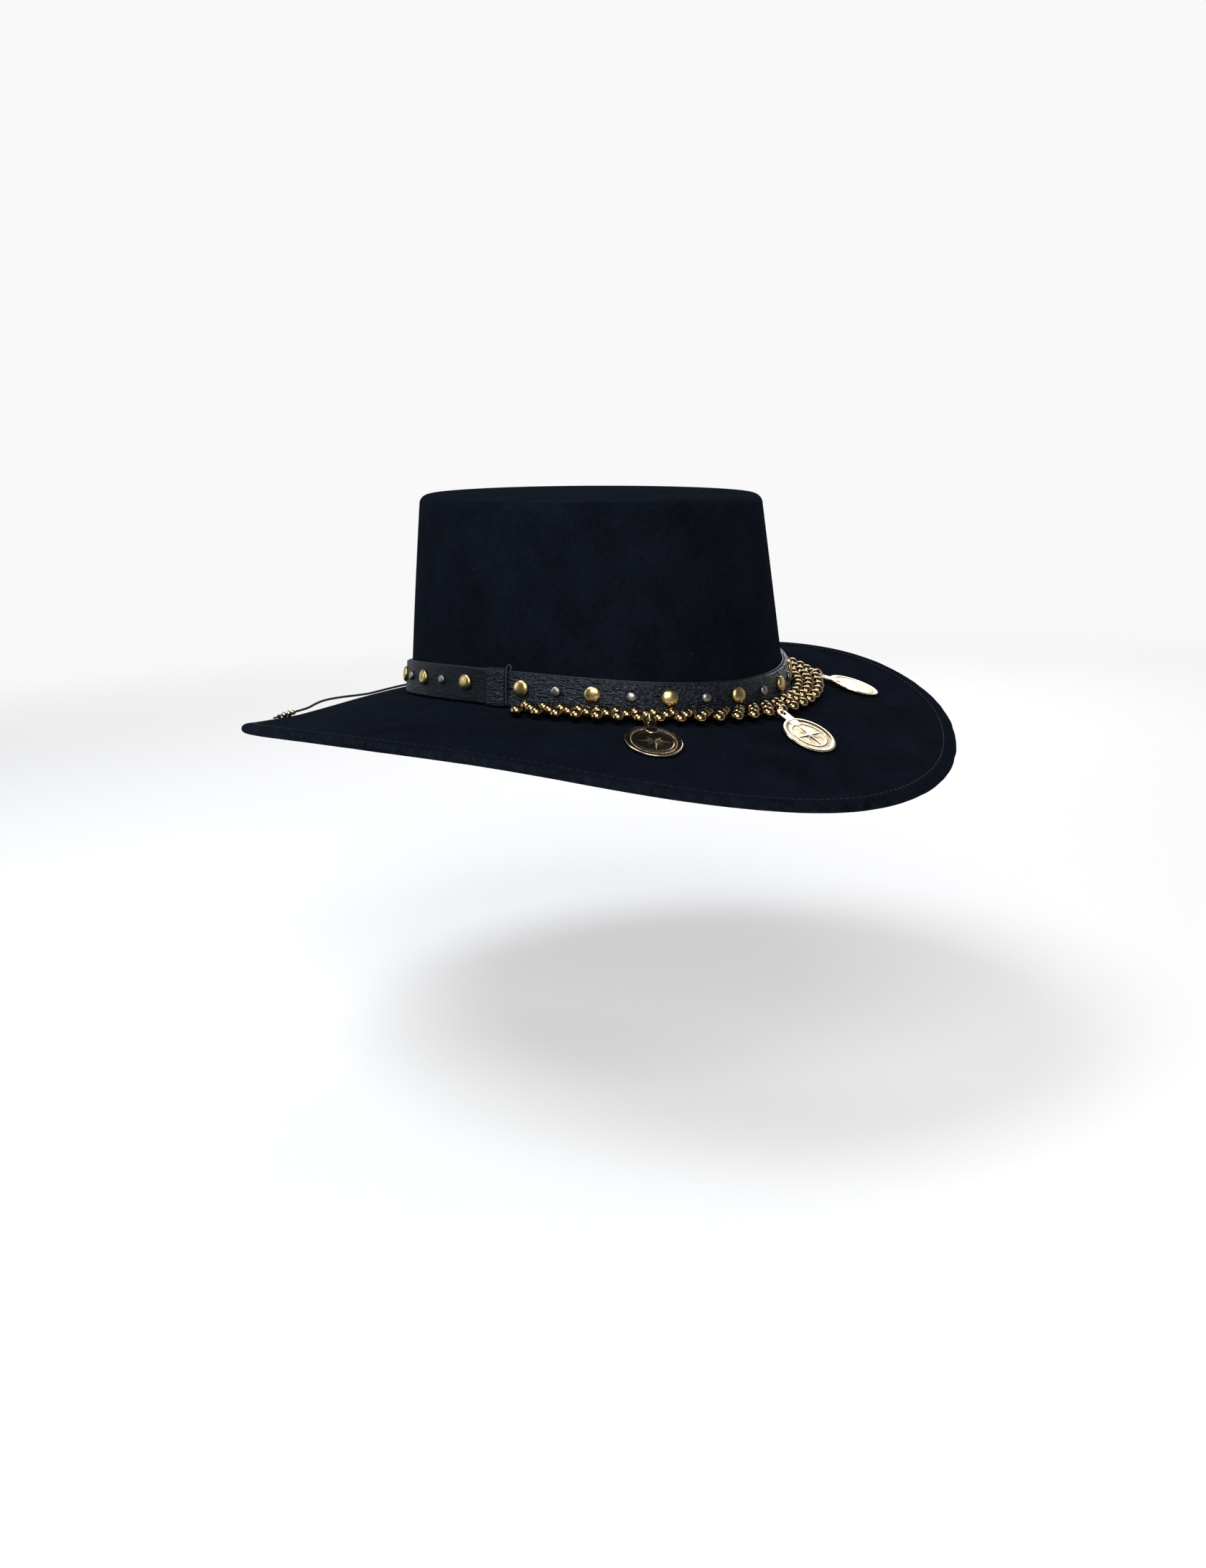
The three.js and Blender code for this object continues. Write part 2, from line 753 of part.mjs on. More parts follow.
// The lean and roll, in degrees, at which a medallion lies on the brim from its place on the
// ring: the lowest lean at which its underside is clear of the felt all round.
function restOnBrim(frame) {
  const clear = (lean, roll) => {
    const turn = new THREE.Euler(roll * RAD, lean * RAD, 0, "YXZ");
    let least = Infinity;
    for (let k = 0; k < 24; k++)
      for (const r of [medallion.diameter / 2, medallion.diameter / 4]) {
        const rim = (k / 24) * 2 * Math.PI;
        const [x, y] = [coinCentre + r * Math.cos(rim), r * Math.sin(rim)];
        const p = new THREE.Vector3(x, y, -medallion.thickness / 2);
        p.applyEuler(turn).applyMatrix4(frame);
        least = Math.min(least, p.z - brimHeightAt(p));
      }
    return least;
  };
  let best = { lean: -90, roll: 0 };
  for (let roll = -16; roll <= 16; roll += 1) {
    let lean = best.lean;
    while (clear(lean + 0.25, roll) > CLEARANCE * 1.5) lean += 0.25;
    if (lean > best.lean) best = { lean, roll };
  }
  return best;
}

// Each medallion hangs from a jump ring that goes round the outer thread between two beads.
function addMedallions() {
  const coin = medallionShape();
  const gaps = halfPitches.filter((_, i) => i % 2 === 1);
  const threadReach = ring.radius - ring.wire / 2 - beads.thread / 2 - CLEARANCE;
  const out = Math.sqrt(threadReach ** 2 - ring.lift ** 2);
  const hang = ring.hang * RAD;
  medallion.bearing.forEach((wanted, i) => {
    const bearing = gaps.reduce((a, b) => (Math.abs(b - wanted) < Math.abs(a - wanted) ? b : a));
    const thread = new THREE.Group();
    thread.applyMatrix4(frameOnRow(bearing));
    hat.add(thread);
    const circle = new THREE.TorusGeometry(ring.radius, ring.wire / 2, 6, 16);
    circle.rotateX(Math.PI / 2).translate(out, 0, ring.lift);
    add(`jump_ring_${i + 1}`, circle, paleGold, thread);
    const pivot = new THREE.Group();
    const place = [out + ring.radius * Math.cos(hang), 0, ring.lift - ring.radius * Math.sin(hang)];
    pivot.position.set(...place);
    const frame = frameOnRow(bearing).multiply(new THREE.Matrix4().makeTranslation(...place));
    const rest = restOnBrim(frame);
    pivot.rotation.set(rest.roll * RAD, rest.lean * RAD, 0, "YXZ");
    thread.add(pivot);
    add(`medallion_${i + 1}`, coin, paleGold, pivot);
  });
}

// ---------------------------------------------------------------- lace at the back
const lacePoints = lace.points.map(([x, y, z]) => new THREE.Vector3(x, y, z));
const laceEnd = lacePoints[lacePoints.length - 1];
const laceAhead = laceEnd.clone().sub(lacePoints[lacePoints.length - 2]).normalize();

// Turns +Y to the direction of the lace's last stretch and moves it back from the lace's end.
function alongLace(geometry, back) {
  const turn = new THREE.Quaternion().setFromUnitVectors(new THREE.Vector3(0, 1, 0), laceAhead);
  return geometry.applyQuaternion(turn).translate(
    ...laceEnd.clone().addScaledVector(laceAhead, -back).toArray(),
  );
}

function laceBead(i) {
  const [r, half, hole] = [laceBeads.diameter[i] / 2, laceBeads.length[i] / 2, laceBeads.bore / 2];
  const profile = [
    [hole, -half],
    [r * 0.8, -half],
    [r, 0],
    [r * 0.8, half],
    [hole, half],
    [hole, -half],
  ].map(([x, y]) => new THREE.Vector2(x, y));
  return alongLace(new THREE.LatheGeometry(profile, 8), beadStart(i) + half);
}

// Distance from the lace's end to the near face of a bead: they stand in a row at the knot.
const beadStart = (i) =>
  CLEARANCE / 2 + laceBeads.length.slice(0, i).reduce((sum, length) => sum + length + CLEARANCE, 0);

function laceKnot() {
  const profile = [
    [0, 0],
    [1.0, 0.3],
    [1.3, 1.2],
    [1.0, 2.2],
    [0.5, 3.2],
    [0, 3.4],
  ].map(([x, y]) => new THREE.Vector2(x, y));
  return alongLace(new THREE.LatheGeometry(profile, 8), -CLEARANCE);
}

// ---------------------------------------------------------------- assembly
add("felt_body", feltBody(), feltBlack);
add("crown_lining", liningCup(), satinBlack);
add("sweatband", sweatbandRing(), leatherBlack);

add("sweatband_bow", sweatbandBow(), satinBlack);

add("band_backing", backingBand(), leatherBlack);
const joint = keeper.angle;
const jointGap = halfAngle(joint, CLEARANCE);
add("band_strip_front", studdedStrip(-joint + jointGap, joint - jointGap, 26), leatherBlack);
add("band_strip_rear", studdedStrip(joint + jointGap, 360 - joint - jointGap, 32), leatherBlack);
for (const [name, side] of [["right", -1], ["left", 1]]) {
  add(`keeper_${name}`, keeperSleeve(side * joint), leatherBlack);
  add(`tie_cord_${name}`, tieCord(side * (joint - keeperHalf - tieHalf)), laceBlack);
}
addStuds();

["inner", "middle", "outer"].forEach((name, row) =>
  add(`bead_row_${name}`, beadRow(row), bronzeGold),
);
addMedallions();

add("lace", tube(lacePoints, lace.diameter, 8, 36), laceBlack);
add("lace_knot", laceKnot(), laceBlack);
laceBeads.length.forEach((_, i) => add(`lace_bead_${i + 1}`, laceBead(i), brass));

export default hat;
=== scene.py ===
"""Looks of a felt pirate hat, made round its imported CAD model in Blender 4.5.

Metres, in the CAD model's own frame: +Z is up, -Y is the front of the hat and +X is the
wearer's left. Angles round the hat start at the front and turn to +X.
"""

import json
import math

import bpy
import numpy as np
from mathutils import Matrix, Vector


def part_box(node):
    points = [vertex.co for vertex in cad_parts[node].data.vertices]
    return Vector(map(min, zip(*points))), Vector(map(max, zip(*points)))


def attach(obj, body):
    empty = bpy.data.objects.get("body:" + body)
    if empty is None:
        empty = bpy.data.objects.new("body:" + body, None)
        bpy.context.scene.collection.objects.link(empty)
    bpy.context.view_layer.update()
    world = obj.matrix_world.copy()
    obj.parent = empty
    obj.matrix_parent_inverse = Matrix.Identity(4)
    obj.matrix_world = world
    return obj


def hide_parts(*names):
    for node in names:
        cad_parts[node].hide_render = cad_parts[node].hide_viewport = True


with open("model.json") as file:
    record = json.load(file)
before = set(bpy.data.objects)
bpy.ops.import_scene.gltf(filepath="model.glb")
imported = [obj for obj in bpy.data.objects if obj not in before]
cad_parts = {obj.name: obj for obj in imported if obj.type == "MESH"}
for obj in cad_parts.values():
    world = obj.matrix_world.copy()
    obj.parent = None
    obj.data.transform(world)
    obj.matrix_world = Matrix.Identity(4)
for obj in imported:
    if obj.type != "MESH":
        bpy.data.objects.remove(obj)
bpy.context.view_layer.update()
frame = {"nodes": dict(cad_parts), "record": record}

bl_info = {
    "name": "Pirate hat",
    "version": (1, 0, 0),
    "blender": (4, 5, 0),
    "location": "3D View > Sidebar > Hat",
    "description": "Felt, leather, beads and medallions of a pirate hat, on its CAD frame",
    "category": "Object",
}

MM = 0.001
TURN = 2 * math.pi

# ------------------------------------------------------------------ sizes of the CAD model
FELT = 2.5 * MM
CROWN_HALF_LENGTH = 105 * MM  # outside, at the brim's break
CROWN_HALF_WIDTH = 88 * MM
TOP_HALF_LENGTH = 94.5 * MM
TOP_HALF_WIDTH = 77 * MM
CROWN_HEIGHT = 100 * MM
TOP_RAKE = 3 * MM
TOP_EDGE = 5 * MM
TOP_DOME = 1.2 * MM
BREAK_RADIUS = 1.2 * MM
BREAK_WAVE = 4.5 * MM

BRIM_FRONT = 85.9 * MM
BRIM_BACK = 96.5 * MM
BRIM_SIDE = 82.6 * MM
DROP = (35.5 * MM, 30.4 * MM, -0.3 * MM)  # of the edge at the front, the back and the sides
CORNER_LIFT = 1.8 * MM
CREST = (6.75 * MM, 4.2 * MM, -0.9 * MM)  # rise of the brim's inner half
DIP = (2.2 * MM, 0.9 * MM, 0.3 * MM)  # hang of its outer half
FOLD_WIDTH = 7 * MM
FOLD_THICKNESS = 4.8 * MM
RIPPLE = [(2, 0.5 * MM), (3, 0.45 * MM), (5, 0.3 * MM), (7, 0.2 * MM), (11, 0.12 * MM)]
NIBBLE = [(37, 0.10 * MM), (61, 0.08 * MM), (97, 0.06 * MM)]  # the edge's fine unevenness
WALL_SAG = [(2, 0.25 * MM), (3, 0.2 * MM), (5, 0.12 * MM)]

LINING_THICKNESS = 0.8 * MM
LINING_FOOT = 30 * MM
SWEATBAND_FOOT = 1.5 * MM
SWEATBAND_HEIGHT = 36 * MM
SWEATBAND_THICKNESS = 1.2 * MM
SWEATBAND_HEM = 17.2 * MM  # where it starts to lie behind the lining's foot
BOW_INSET = 7.1 * MM

BAND_HEIGHT = 16 * MM
BAND_LIFT = 1.1 * MM
BAND_INSIDE = 1.4 * MM  # the studded strips' inner face, outside the crown's wall
BAND_OUTSIDE = 3.0 * MM
BACKING_INSIDE = 0.3 * MM
BACKING_OUTSIDE = 1.1 * MM
BACKING_SHOW = 0.4 * MM
KEEPER_ANGLE = math.radians(80)
KEEPER_WIDTH = 9 * MM
KEEPER_OUTSIDE = 4.8 * MM
TIE_DIAMETER = 0.9 * MM
TIE_GAP = 0.5 * MM  # from a keeper to the cord tied beside it
CLEARANCE = 0.3 * MM
STUD_UP = 10.3 * MM  # centre of the studs above the brim's break
BEAD_DIAMETER = 6 * MM
BEAD_PITCH = 9.1 * MM
BEAD_ROWS = [6.6 * MM, 11.69 * MM, 16.79 * MM]  # plan distance of each row from the crown's wall
BEAD_END = 69.5  # bearing of the strap's ends, in degrees
COIN_RADIUS = 13 * MM
COIN_CENTRE = 17.8 * MM  # from the middle of the tab's slot
COIN_HALF = 0.65 * MM  # half its thickness at the rim
COIN_FIELD = 0.30 * MM  # height of the sunk field above the coin's middle
DOT_RING = 10.35 * MM
SLOT_HALF = 1.7 * MM
SLOT_WIDTH = 2.6 * MM
TAB_WIDTH = 5.6 * MM
TAB_EDGE = 1.3 * MM  # metal round the end of the slot
RING_RADIUS = 2.9 * MM
RING_WIRE = 0.4 * MM
LACE_DIAMETER = 1.3 * MM
LACE_ROUTE = [
    (0, 0.1086, -0.0022),
    (-0.001, 0.1125, -0.0031),
    (-0.006, 0.12, -0.0043),
    (-0.014, 0.126, -0.0054),
    (-0.025, 0.1298, -0.0064),
    (-0.036, 0.1311, -0.0072),
    (-0.0447, 0.1322, -0.0079),
    (-0.0516, 0.1328, -0.0078),
    (-0.0615, 0.1334, -0.0074),
    (-0.0692, 0.1338, -0.0073),
    (-0.0751, 0.1341, -0.0076),
    (-0.0804, 0.1344, -0.0086),
    (-0.0851, 0.1348, -0.0101),
    (-0.0933, 0.1356, -0.01105),
    (-0.1015, 0.1364, -0.012),
]


# ------------------------------------------------------------------ the hat's own surfaces
def around(angle, half_length, half_width, shift=0.0, z=0.0):
    angle = np.asarray(angle, float)
    x = half_width * np.sin(angle)
    y = shift - half_length * np.cos(angle)
    return np.stack([x, y, z + 0 * angle], axis=-1)


def break_height(angle):
    return -BREAK_WAVE * np.cos(2 * np.asarray(angle, float))


def on_wall(angle, z, outside=0.0):
    """A point at a height and a distance outside the crown's outer wall."""
    lean_length = (CROWN_HALF_LENGTH - TOP_HALF_LENGTH) / CROWN_HEIGHT
    lean_width = (CROWN_HALF_WIDTH - TOP_HALF_WIDTH) / CROWN_HEIGHT
    half_length = CROWN_HALF_LENGTH - lean_length * z + outside
    half_width = CROWN_HALF_WIDTH - lean_width * z + outside
    return around(angle, half_length, half_width, z=z)


def brim_edge(angle):
    half_length = CROWN_HALF_LENGTH + (BRIM_FRONT + BRIM_BACK) / 2
    return around(angle, half_length, CROWN_HALF_WIDTH + BRIM_SIDE, (BRIM_BACK - BRIM_FRONT) / 2)


def blended(angle, front, back, side):
    """A smooth value round the brim from its values at the front, the back and both sides."""
    ends = (front + back) / 2
    waves = (front - back) / 2 * np.cos(angle) + (ends - side) / 2 * np.cos(2 * angle)
    return (ends + side) / 2 + waves


def on_brim(angle, t):
    """The brim's middle surface: t is 0 at the crown's wall and 1 at the edge."""
    angle = np.asarray(angle, float)
    edge = CORNER_LIFT * (np.cos(angle) - np.cos(3 * angle)) - blended(angle, *DROP)
    start = break_height(angle) - FELT / 2
    share = np.asarray(t, float)
    inner = on_wall(angle, 0.0)
    p = inner + (brim_edge(angle) - inner) * share[..., None]
    bulge = blended(angle, *CREST) * (1 - share) - blended(angle, *DIP) * share
    p[..., 2] = start + (edge - start) * share + bulge * share * (1 - share) * 27 / 4
    return p


def brim_width(angle):
    gap = brim_edge(angle) - on_wall(angle, 0.0)
    return np.hypot(gap[..., 0], gap[..., 1])


def above_brim(angle, distance, height):
    """A point above the brim's top, at a plan distance outside the crown's wall."""
    p = on_brim(angle, distance / brim_width(angle))
    p[..., 2] += FELT / 2 + height
    return p


def top_height(y):
    return CROWN_HEIGHT + TOP_RAKE * y / TOP_HALF_LENGTH


def wall_top(angle):
    return top_height(around(angle, TOP_HALF_LENGTH, 0)[..., 1]) - TOP_EDGE


def unit(v):
    return v / np.linalg.norm(v, axis=-1, keepdims=True)


def wall_frame(angle, up, outside):
    """A frame on the crown's wall: x along it, y up it and z out of it."""
    z = float(break_height(angle)) + up
    place = on_wall(angle, z, outside)
    along = unit(on_wall(angle + 0.01, z, outside) - on_wall(angle - 0.01, z, outside))
    rise = unit(on_wall(angle, z + MM, outside) - place)
    out = unit(np.cross(along, rise))
    axes = np.stack([along, np.cross(out, along), out], axis=1)
    return Matrix.Translation(place) @ Matrix(axes).to_4x4()


def wobble(phase, *waves):
    """A smooth unevenness round the hat, from pairs of a whole number of waves and a height."""
    total = 0.0
    for k, (count, height) in enumerate(waves):
        total = total + height * np.sin(count * phase + 1.7 * k + 0.6 * count)
    return total


# ------------------------------------------------------------------ meshes
def signed_volume(verts, faces):
    total = 0.0
    for face in faces:
        a = verts[face[0]]
        for i in range(1, len(face) - 1):
            total += np.dot(a, np.cross(verts[face[i]], verts[face[i + 1]]))
    return total


def mesh_from(name, verts, faces, uvs=None):
    """A smooth mesh whose faces point outwards."""
    verts = np.asarray(verts, float)
    if signed_volume(verts, faces) < 0:
        faces = [tuple(reversed(face)) for face in faces]
        if uvs is not None:
            uvs = [tuple(reversed(corner)) for corner in uvs]
    mesh = bpy.data.meshes.new(name)
    mesh.from_pydata(verts.tolist(), [], faces)
    if uvs is not None:
        layer = mesh.uv_layers.new(name="surface")
        flat = [value for face in uvs for corner in face for value in corner]
        layer.data.foreach_set("uv", flat)
    mesh.polygons.foreach_set("use_smooth", [True] * len(mesh.polygons))
    mesh.update()
    return mesh


def loft(name, rings, along, across, closed=False):
    """A closed skin through rings of points. Its UV map holds metres: along gives a value for
    each ring and across one for each point of a ring, and one more where the ring closes."""
    rings = np.asarray(rings, float)
    count, sides = rings.shape[:2]
    verts = list(rings.reshape(-1, 3))
    faces, uvs = [], []
    for i in range(count if closed else count - 1):
        near, far = i * sides, (i + 1) % count * sides
        for j in range(sides):
            k = (j + 1) % sides
            faces.append((near + j, near + k, far + k, far + j))
            here, there = along[i], along[i + 1]
            left, right = across[j], across[j + 1]
            uvs.append(((here, left), (here, right), (there, right), (there, left)))
    if not closed:
        for i in (0, count - 1):
            verts.append(rings[i].mean(axis=0))
            middle = len(verts) - 1
            for j in range(sides):
                k = (j + 1) % sides
                ends = (i * sides + j, i * sides + k)
                faces.append((middle, *(reversed(ends) if i == 0 else ends)))
                corners = [(along[i], across[j]), (along[i], across[j + 1])]
                corners = corners[::-1] if i == 0 else corners
                uvs.append(((along[i], across[j]), *corners))
    return mesh_from(name, verts, faces, uvs)


def lengths_along(points, close=False):
    points = np.asarray(points, float)
    if close:
        points = np.concatenate([points, points[:1]])
    steps = np.linalg.norm(np.diff(points, axis=0), axis=1)
    return np.concatenate([[0.0], np.cumsum(steps)])


def rounded_box(low, high, inside, outside, radius, steps=4):
    """A strip's section as points (outside the wall, up it), with rounded corners."""
    corners = [
        (outside - radius, high - radius, 0),
        (inside + radius, high - radius, 90),
        (inside + radius, low + radius, 180),
        (outside - radius, low + radius, 270),
    ]
    points = []
    for x, y, start in corners:
        for i in range(steps + 1):
            turn = math.radians(start + 90 * i / steps)
            points.append((x + radius * math.cos(turn), y + radius * math.sin(turn)))
    return points


def subdivided(section, longest):
    """The section with its long straight sides cut into shorter ones."""
    points = []
    for (x0, y0), (x1, y1) in zip(section, section[1:] + section[:1]):
        parts = max(1, math.ceil(math.hypot(x1 - x0, y1 - y0) / longest))
        for i in range(parts):
            share = i / parts
            points.append((x0 + (x1 - x0) * share, y0 + (y1 - y0) * share))
    return points


def wall_strip(name, start, end, section, step, uneven=None, closed=False):
    """A strip round the crown from one angle to another, with the section (outside, up) that
    stands on the brim's break. uneven gives each point's own shift out of the wall."""
    count = max(8, round((end - start) * CROWN_HALF_LENGTH / step))
    angles = np.linspace(start, end, count + 1)
    if closed:
        angles = angles[:-1]
    out = np.array([x for x, _ in section])
    up = np.array([y for _, y in section])
    rings = []
    for angle in angles:
        shift = uneven(angle, up) if uneven else 0.0
        rings.append(on_wall(angle + 0 * up, break_height(angle) + up, out + shift))
    rings = np.array(rings)
    along = lengths_along(rings[:, 0], close=closed)
    return loft(name, rings, along, lengths_along(section, close=True), closed)


def sweep(name, path, radius, sides=10, lobes=0, twist=0.0, taper=None):
    """A tube along a path of points. With lobes it's a cord of that many twisted plies."""
    path = np.asarray(path, float)
    ahead = unit(np.gradient(path, axis=0))
    side = unit(np.cross(ahead[0], (0.3, 0.2, 0.93)))
    lengths = lengths_along(path)
    rings = []
    for i, centre in enumerate(path):
        side = unit(side - ahead[i] * np.dot(side, ahead[i]))
        other = np.cross(ahead[i], side)
        turns = np.arange(sides) / sides * TURN
        bulge = np.ones(sides)
        if lobes:
            bulge = 0.86 + 0.14 * np.cos(lobes * (turns + twist * lengths[i]))
        width = radius * bulge * (taper(i / (len(path) - 1)) if taper else 1.0)
        ring = np.outer(width * np.cos(turns), side) + np.outer(width * np.sin(turns), other)
        rings.append(centre + ring)
    across = np.arange(sides + 1) / sides * TURN * radius
    return loft(name, rings, lengths, across)


def lathe(name, profile, sides):
    """A body turned round Z from (radius, height) points that start and end on the axis."""
    inner = profile[1:-1]
    turns = np.arange(sides) / sides * TURN
    rings = [[(r * math.cos(t), r * math.sin(t), h) for t in turns] for r, h in inner]
    verts = [p for ring in rings for p in ring]
    verts += [(0, 0, profile[0][1]), (0, 0, profile[-1][1])]
    low, high = len(verts) - 2, len(verts) - 1
    last = (len(inner) - 1) * sides
    faces = []
    for j in range(sides):
        k = (j + 1) % sides
        faces.append((low, k, j))
        faces.append((high, last + j, last + k))
        for i in range(len(inner) - 1):
            at = i * sides
            faces.append((at + j, at + k, at + sides + k, at + sides + j))
    return mesh_from(name, verts, faces)


def smooth_path(points, count):
    """Points evenly spaced on a smooth curve through the route, centripetal as the CAD's is."""
    p = [np.asarray(point, float) for point in points]
    p = [2 * p[0] - p[1], *p, 2 * p[-1] - p[-2]]
    fine = []
    for a, b, c, d in zip(p, p[1:], p[2:], p[3:]):
        knots = [0.0]
        for q, r in ((a, b), (b, c), (c, d)):
            knots.append(knots[-1] + math.sqrt(np.linalg.norm(r - q)))
        for s in np.linspace(knots[1], knots[2], 24, endpoint=False):
            level = [a, b, c, d]
            for gap in (1, 2, 3):
                level = [
                    (level[i] * (knots[i + gap] - s) + level[i + 1] * (s - knots[i]))
                    / (knots[i + gap] - knots[i])
                    for i in range(len(level) - 1)
                ]
            fine.append(level[0])
    fine.append(p[-2])
    fine = np.array(fine)
    lengths = lengths_along(fine)
    wanted = np.linspace(0, lengths[-1], count)
    return np.stack([np.interp(wanted, lengths, fine[:, k]) for k in range(3)], axis=1)


def joined(name, meshes):
    """One mesh from several, which keeps their UV map."""
    verts, faces, uvs = [], [], []
    for mesh in meshes:
        base = len(verts)
        verts += [tuple(v.co) for v in mesh.vertices]
        layer = mesh.uv_layers.get("surface")
        for polygon in mesh.polygons:
            faces.append(tuple(base + i for i in polygon.vertices))
            uvs.append([tuple(layer.data[i].uv) for i in polygon.loop_indices])
    mesh = bpy.data.meshes.new(name)
    mesh.from_pydata(verts, [], faces)
    layer = mesh.uv_layers.new(name="surface")
    layer.data.foreach_set("uv", [v for face in uvs for corner in face for v in corner])
    mesh.polygons.foreach_set("use_smooth", [True] * len(mesh.polygons))
    mesh.update()
    return mesh


def add_object(name, mesh):
    thing = bpy.data.objects.new(name, mesh)
    bpy.context.scene.collection.objects.link(thing)
    return thing


def piece(name, mesh, material, body="hat", nodes=()):
    """A finished piece that rides on a body and stands for the CAD nodes named."""
    thing = add_object(name, mesh)
    thing.data.materials.clear()
    thing.data.materials.append(material)
    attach(thing, body)
    if nodes:
        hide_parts(*nodes)
    return thing


def nodes_named(start):
    return sorted(name for name in frame["nodes"] if name.startswith(start))


def node_points(name):
    thing = frame["nodes"][name]
    return np.array([thing.matrix_world @ v.co for v in thing.data.vertices])


# ------------------------------------------------------------------ node trees
class Wire:
    """An output of a node. Python's operators on it add Math nodes."""

    def __init__(self, tree, socket):
        self.tree = tree
        self.socket = socket

    def math(self, operation, *values):
        inputs = dict(enumerate((self, *values)))
        return self.tree.node("ShaderNodeMath", {"operation": operation}, inputs)

    def __add__(self, other):
        return self.math("ADD", other)

    def __sub__(self, other):
        return self.math("SUBTRACT", other)

    def __mul__(self, other):
        return self.math("MULTIPLY", other)

    def __rsub__(self, other):
        return self * -1 + other

    __radd__ = __add__
    __rmul__ = __mul__

    def size(self):
        return self.math("ABSOLUTE")

    def sine(self):
        return self.math("SINE")

    def most(self, other):
        return self.math("MAXIMUM", other)

    def between(self, low, high):
        """0 at low and 1 at high, smooth in between and flat outside."""
        settings = {"interpolation_type": "SMOOTHSTEP"}
        values = {"Value": self, "From Min": low, "From Max": high}
        return self.tree.node("ShaderNodeMapRange", settings, values)


class Tree:
    """A node tree under construction."""

    def __init__(self, tree):
        self.tree = tree

    @staticmethod
    def socket(sockets, key):
        shown = [s for s in sockets if s.enabled]
        if isinstance(key, int):
            return shown[key]
        return next(s for s in shown if s.name == key)

    def node(self, kind, settings=None, inputs=None, output=0):
        """Adds a node with its settings and the values or links of its sockets, and returns one
        of its outputs."""
        made = self.tree.nodes.new(kind)
        for key, value in (settings or {}).items():
            setattr(made, key, value)
        for key, value in (inputs or {}).items():
            socket = self.socket(made.inputs, key)
            if isinstance(value, Wire):
                self.tree.links.new(value.socket, socket)
            else:
                socket.default_value = value
        return Wire(self, self.socket(made.outputs, output))


class Look(Tree):
    """A material under construction, on object coordinates or on the piece's own UV map."""

    def __init__(self, name, constants):
        self.material = bpy.data.materials.new(name)
        self.material.use_nodes = True
        super().__init__(self.material.node_tree)
        self.shader = self.tree.nodes["Principled BSDF"]
        for key, value in constants.items():
            self.shader.inputs[key].default_value = value
        self.place = self.node("ShaderNodeTexCoord", output="Object")
        self.normal = None

    def surface(self):
        """The piece's UV map, in metres."""
        return self.node("ShaderNodeUVMap", {"uv_map": "surface"})

    def lengths(self):
        """The UV map's two values: the length along the piece and the length across it."""
        uv = {"Vector": self.surface()}
        return [self.node("ShaderNodeSeparateXYZ", None, uv, axis) for axis in "XY"]

    def stretched(self, vector, scale, turn=0.0, shift=(0, 0, 0)):
        inputs = {"Vector": vector, "Location": shift, "Rotation": (0, 0, turn), "Scale": scale}
        return self.node("ShaderNodeMapping", None, inputs)

    def noise(self, scale, detail=3.0, vector=None, warp=0.0, rough=0.5):
        inputs = {
            "Vector": vector or self.place,
            "Scale": scale,
            "Detail": detail,
            "Roughness": rough,
            "Distortion": warp,
        }
        return self.node("ShaderNodeTexNoise", None, inputs)

    def warped(self, vector, scale, amount):
        """The vector pushed about by noise, so that a regular pattern turns natural."""
        inputs = {"Vector": vector, "Scale": scale, "Detail": 2.0}
        push = self.node("ShaderNodeTexNoise", None, inputs, "Color")
        centred = self.node(
            "ShaderNodeVectorMath", {"operation": "SUBTRACT"}, {0: push, 1: (0.5, 0.5, 0.5)}
        )
        shift = self.node(
            "ShaderNodeVectorMath", {"operation": "SCALE"}, {"Vector": centred, "Scale": amount}
        )
        return self.node("ShaderNodeVectorMath", {"operation": "ADD"}, {0: vector, 1: shift})

    def cells(self, scale, vector=None, feature="DISTANCE_TO_EDGE", output="Distance", flat=True):
        settings = {"feature": feature, "voronoi_dimensions": "2D" if flat else "3D"}
        inputs = {"Vector": vector or self.place, "Scale": scale}
        return self.node("ShaderNodeTexVoronoi", settings, inputs, output)

    def mixed(self, share, first, second):
        inputs = {"Factor": share, "A": self.colour(first), "B": self.colour(second)}
        return self.node("ShaderNodeMix", {"data_type": "RGBA"}, inputs)

    @staticmethod
    def colour(value):
        return value if isinstance(value, Wire) else (*value, 1.0)

    def attribute(self, name):
        return self.node("ShaderNodeAttribute", {"attribute_name": name}, None, "Fac")

    def bump(self, height, distance, strength=1.0):
        """Adds a layer of relief that is this deep, in metres, where height goes from 0 to 1."""
        inputs = {"Height": height, "Distance": distance, "Strength": strength}
        if self.normal is not None:
            inputs["Normal"] = self.normal
        self.normal = self.node("ShaderNodeBump", None, inputs)

    def finish(self, **wires):
        """Links the values that change over the surface, and returns the material."""
        if self.normal is not None:
            wires["normal"] = self.normal
        for key, wire in wires.items():
            name = key.replace("_", " ").title()
            self.tree.links.new(wire.socket, self.shader.inputs[name])
        return self.material


# ------------------------------------------------------------------ materials
def scaled(colour, factor, lift=0.0):
    return tuple(factor * c + lift for c in colour)


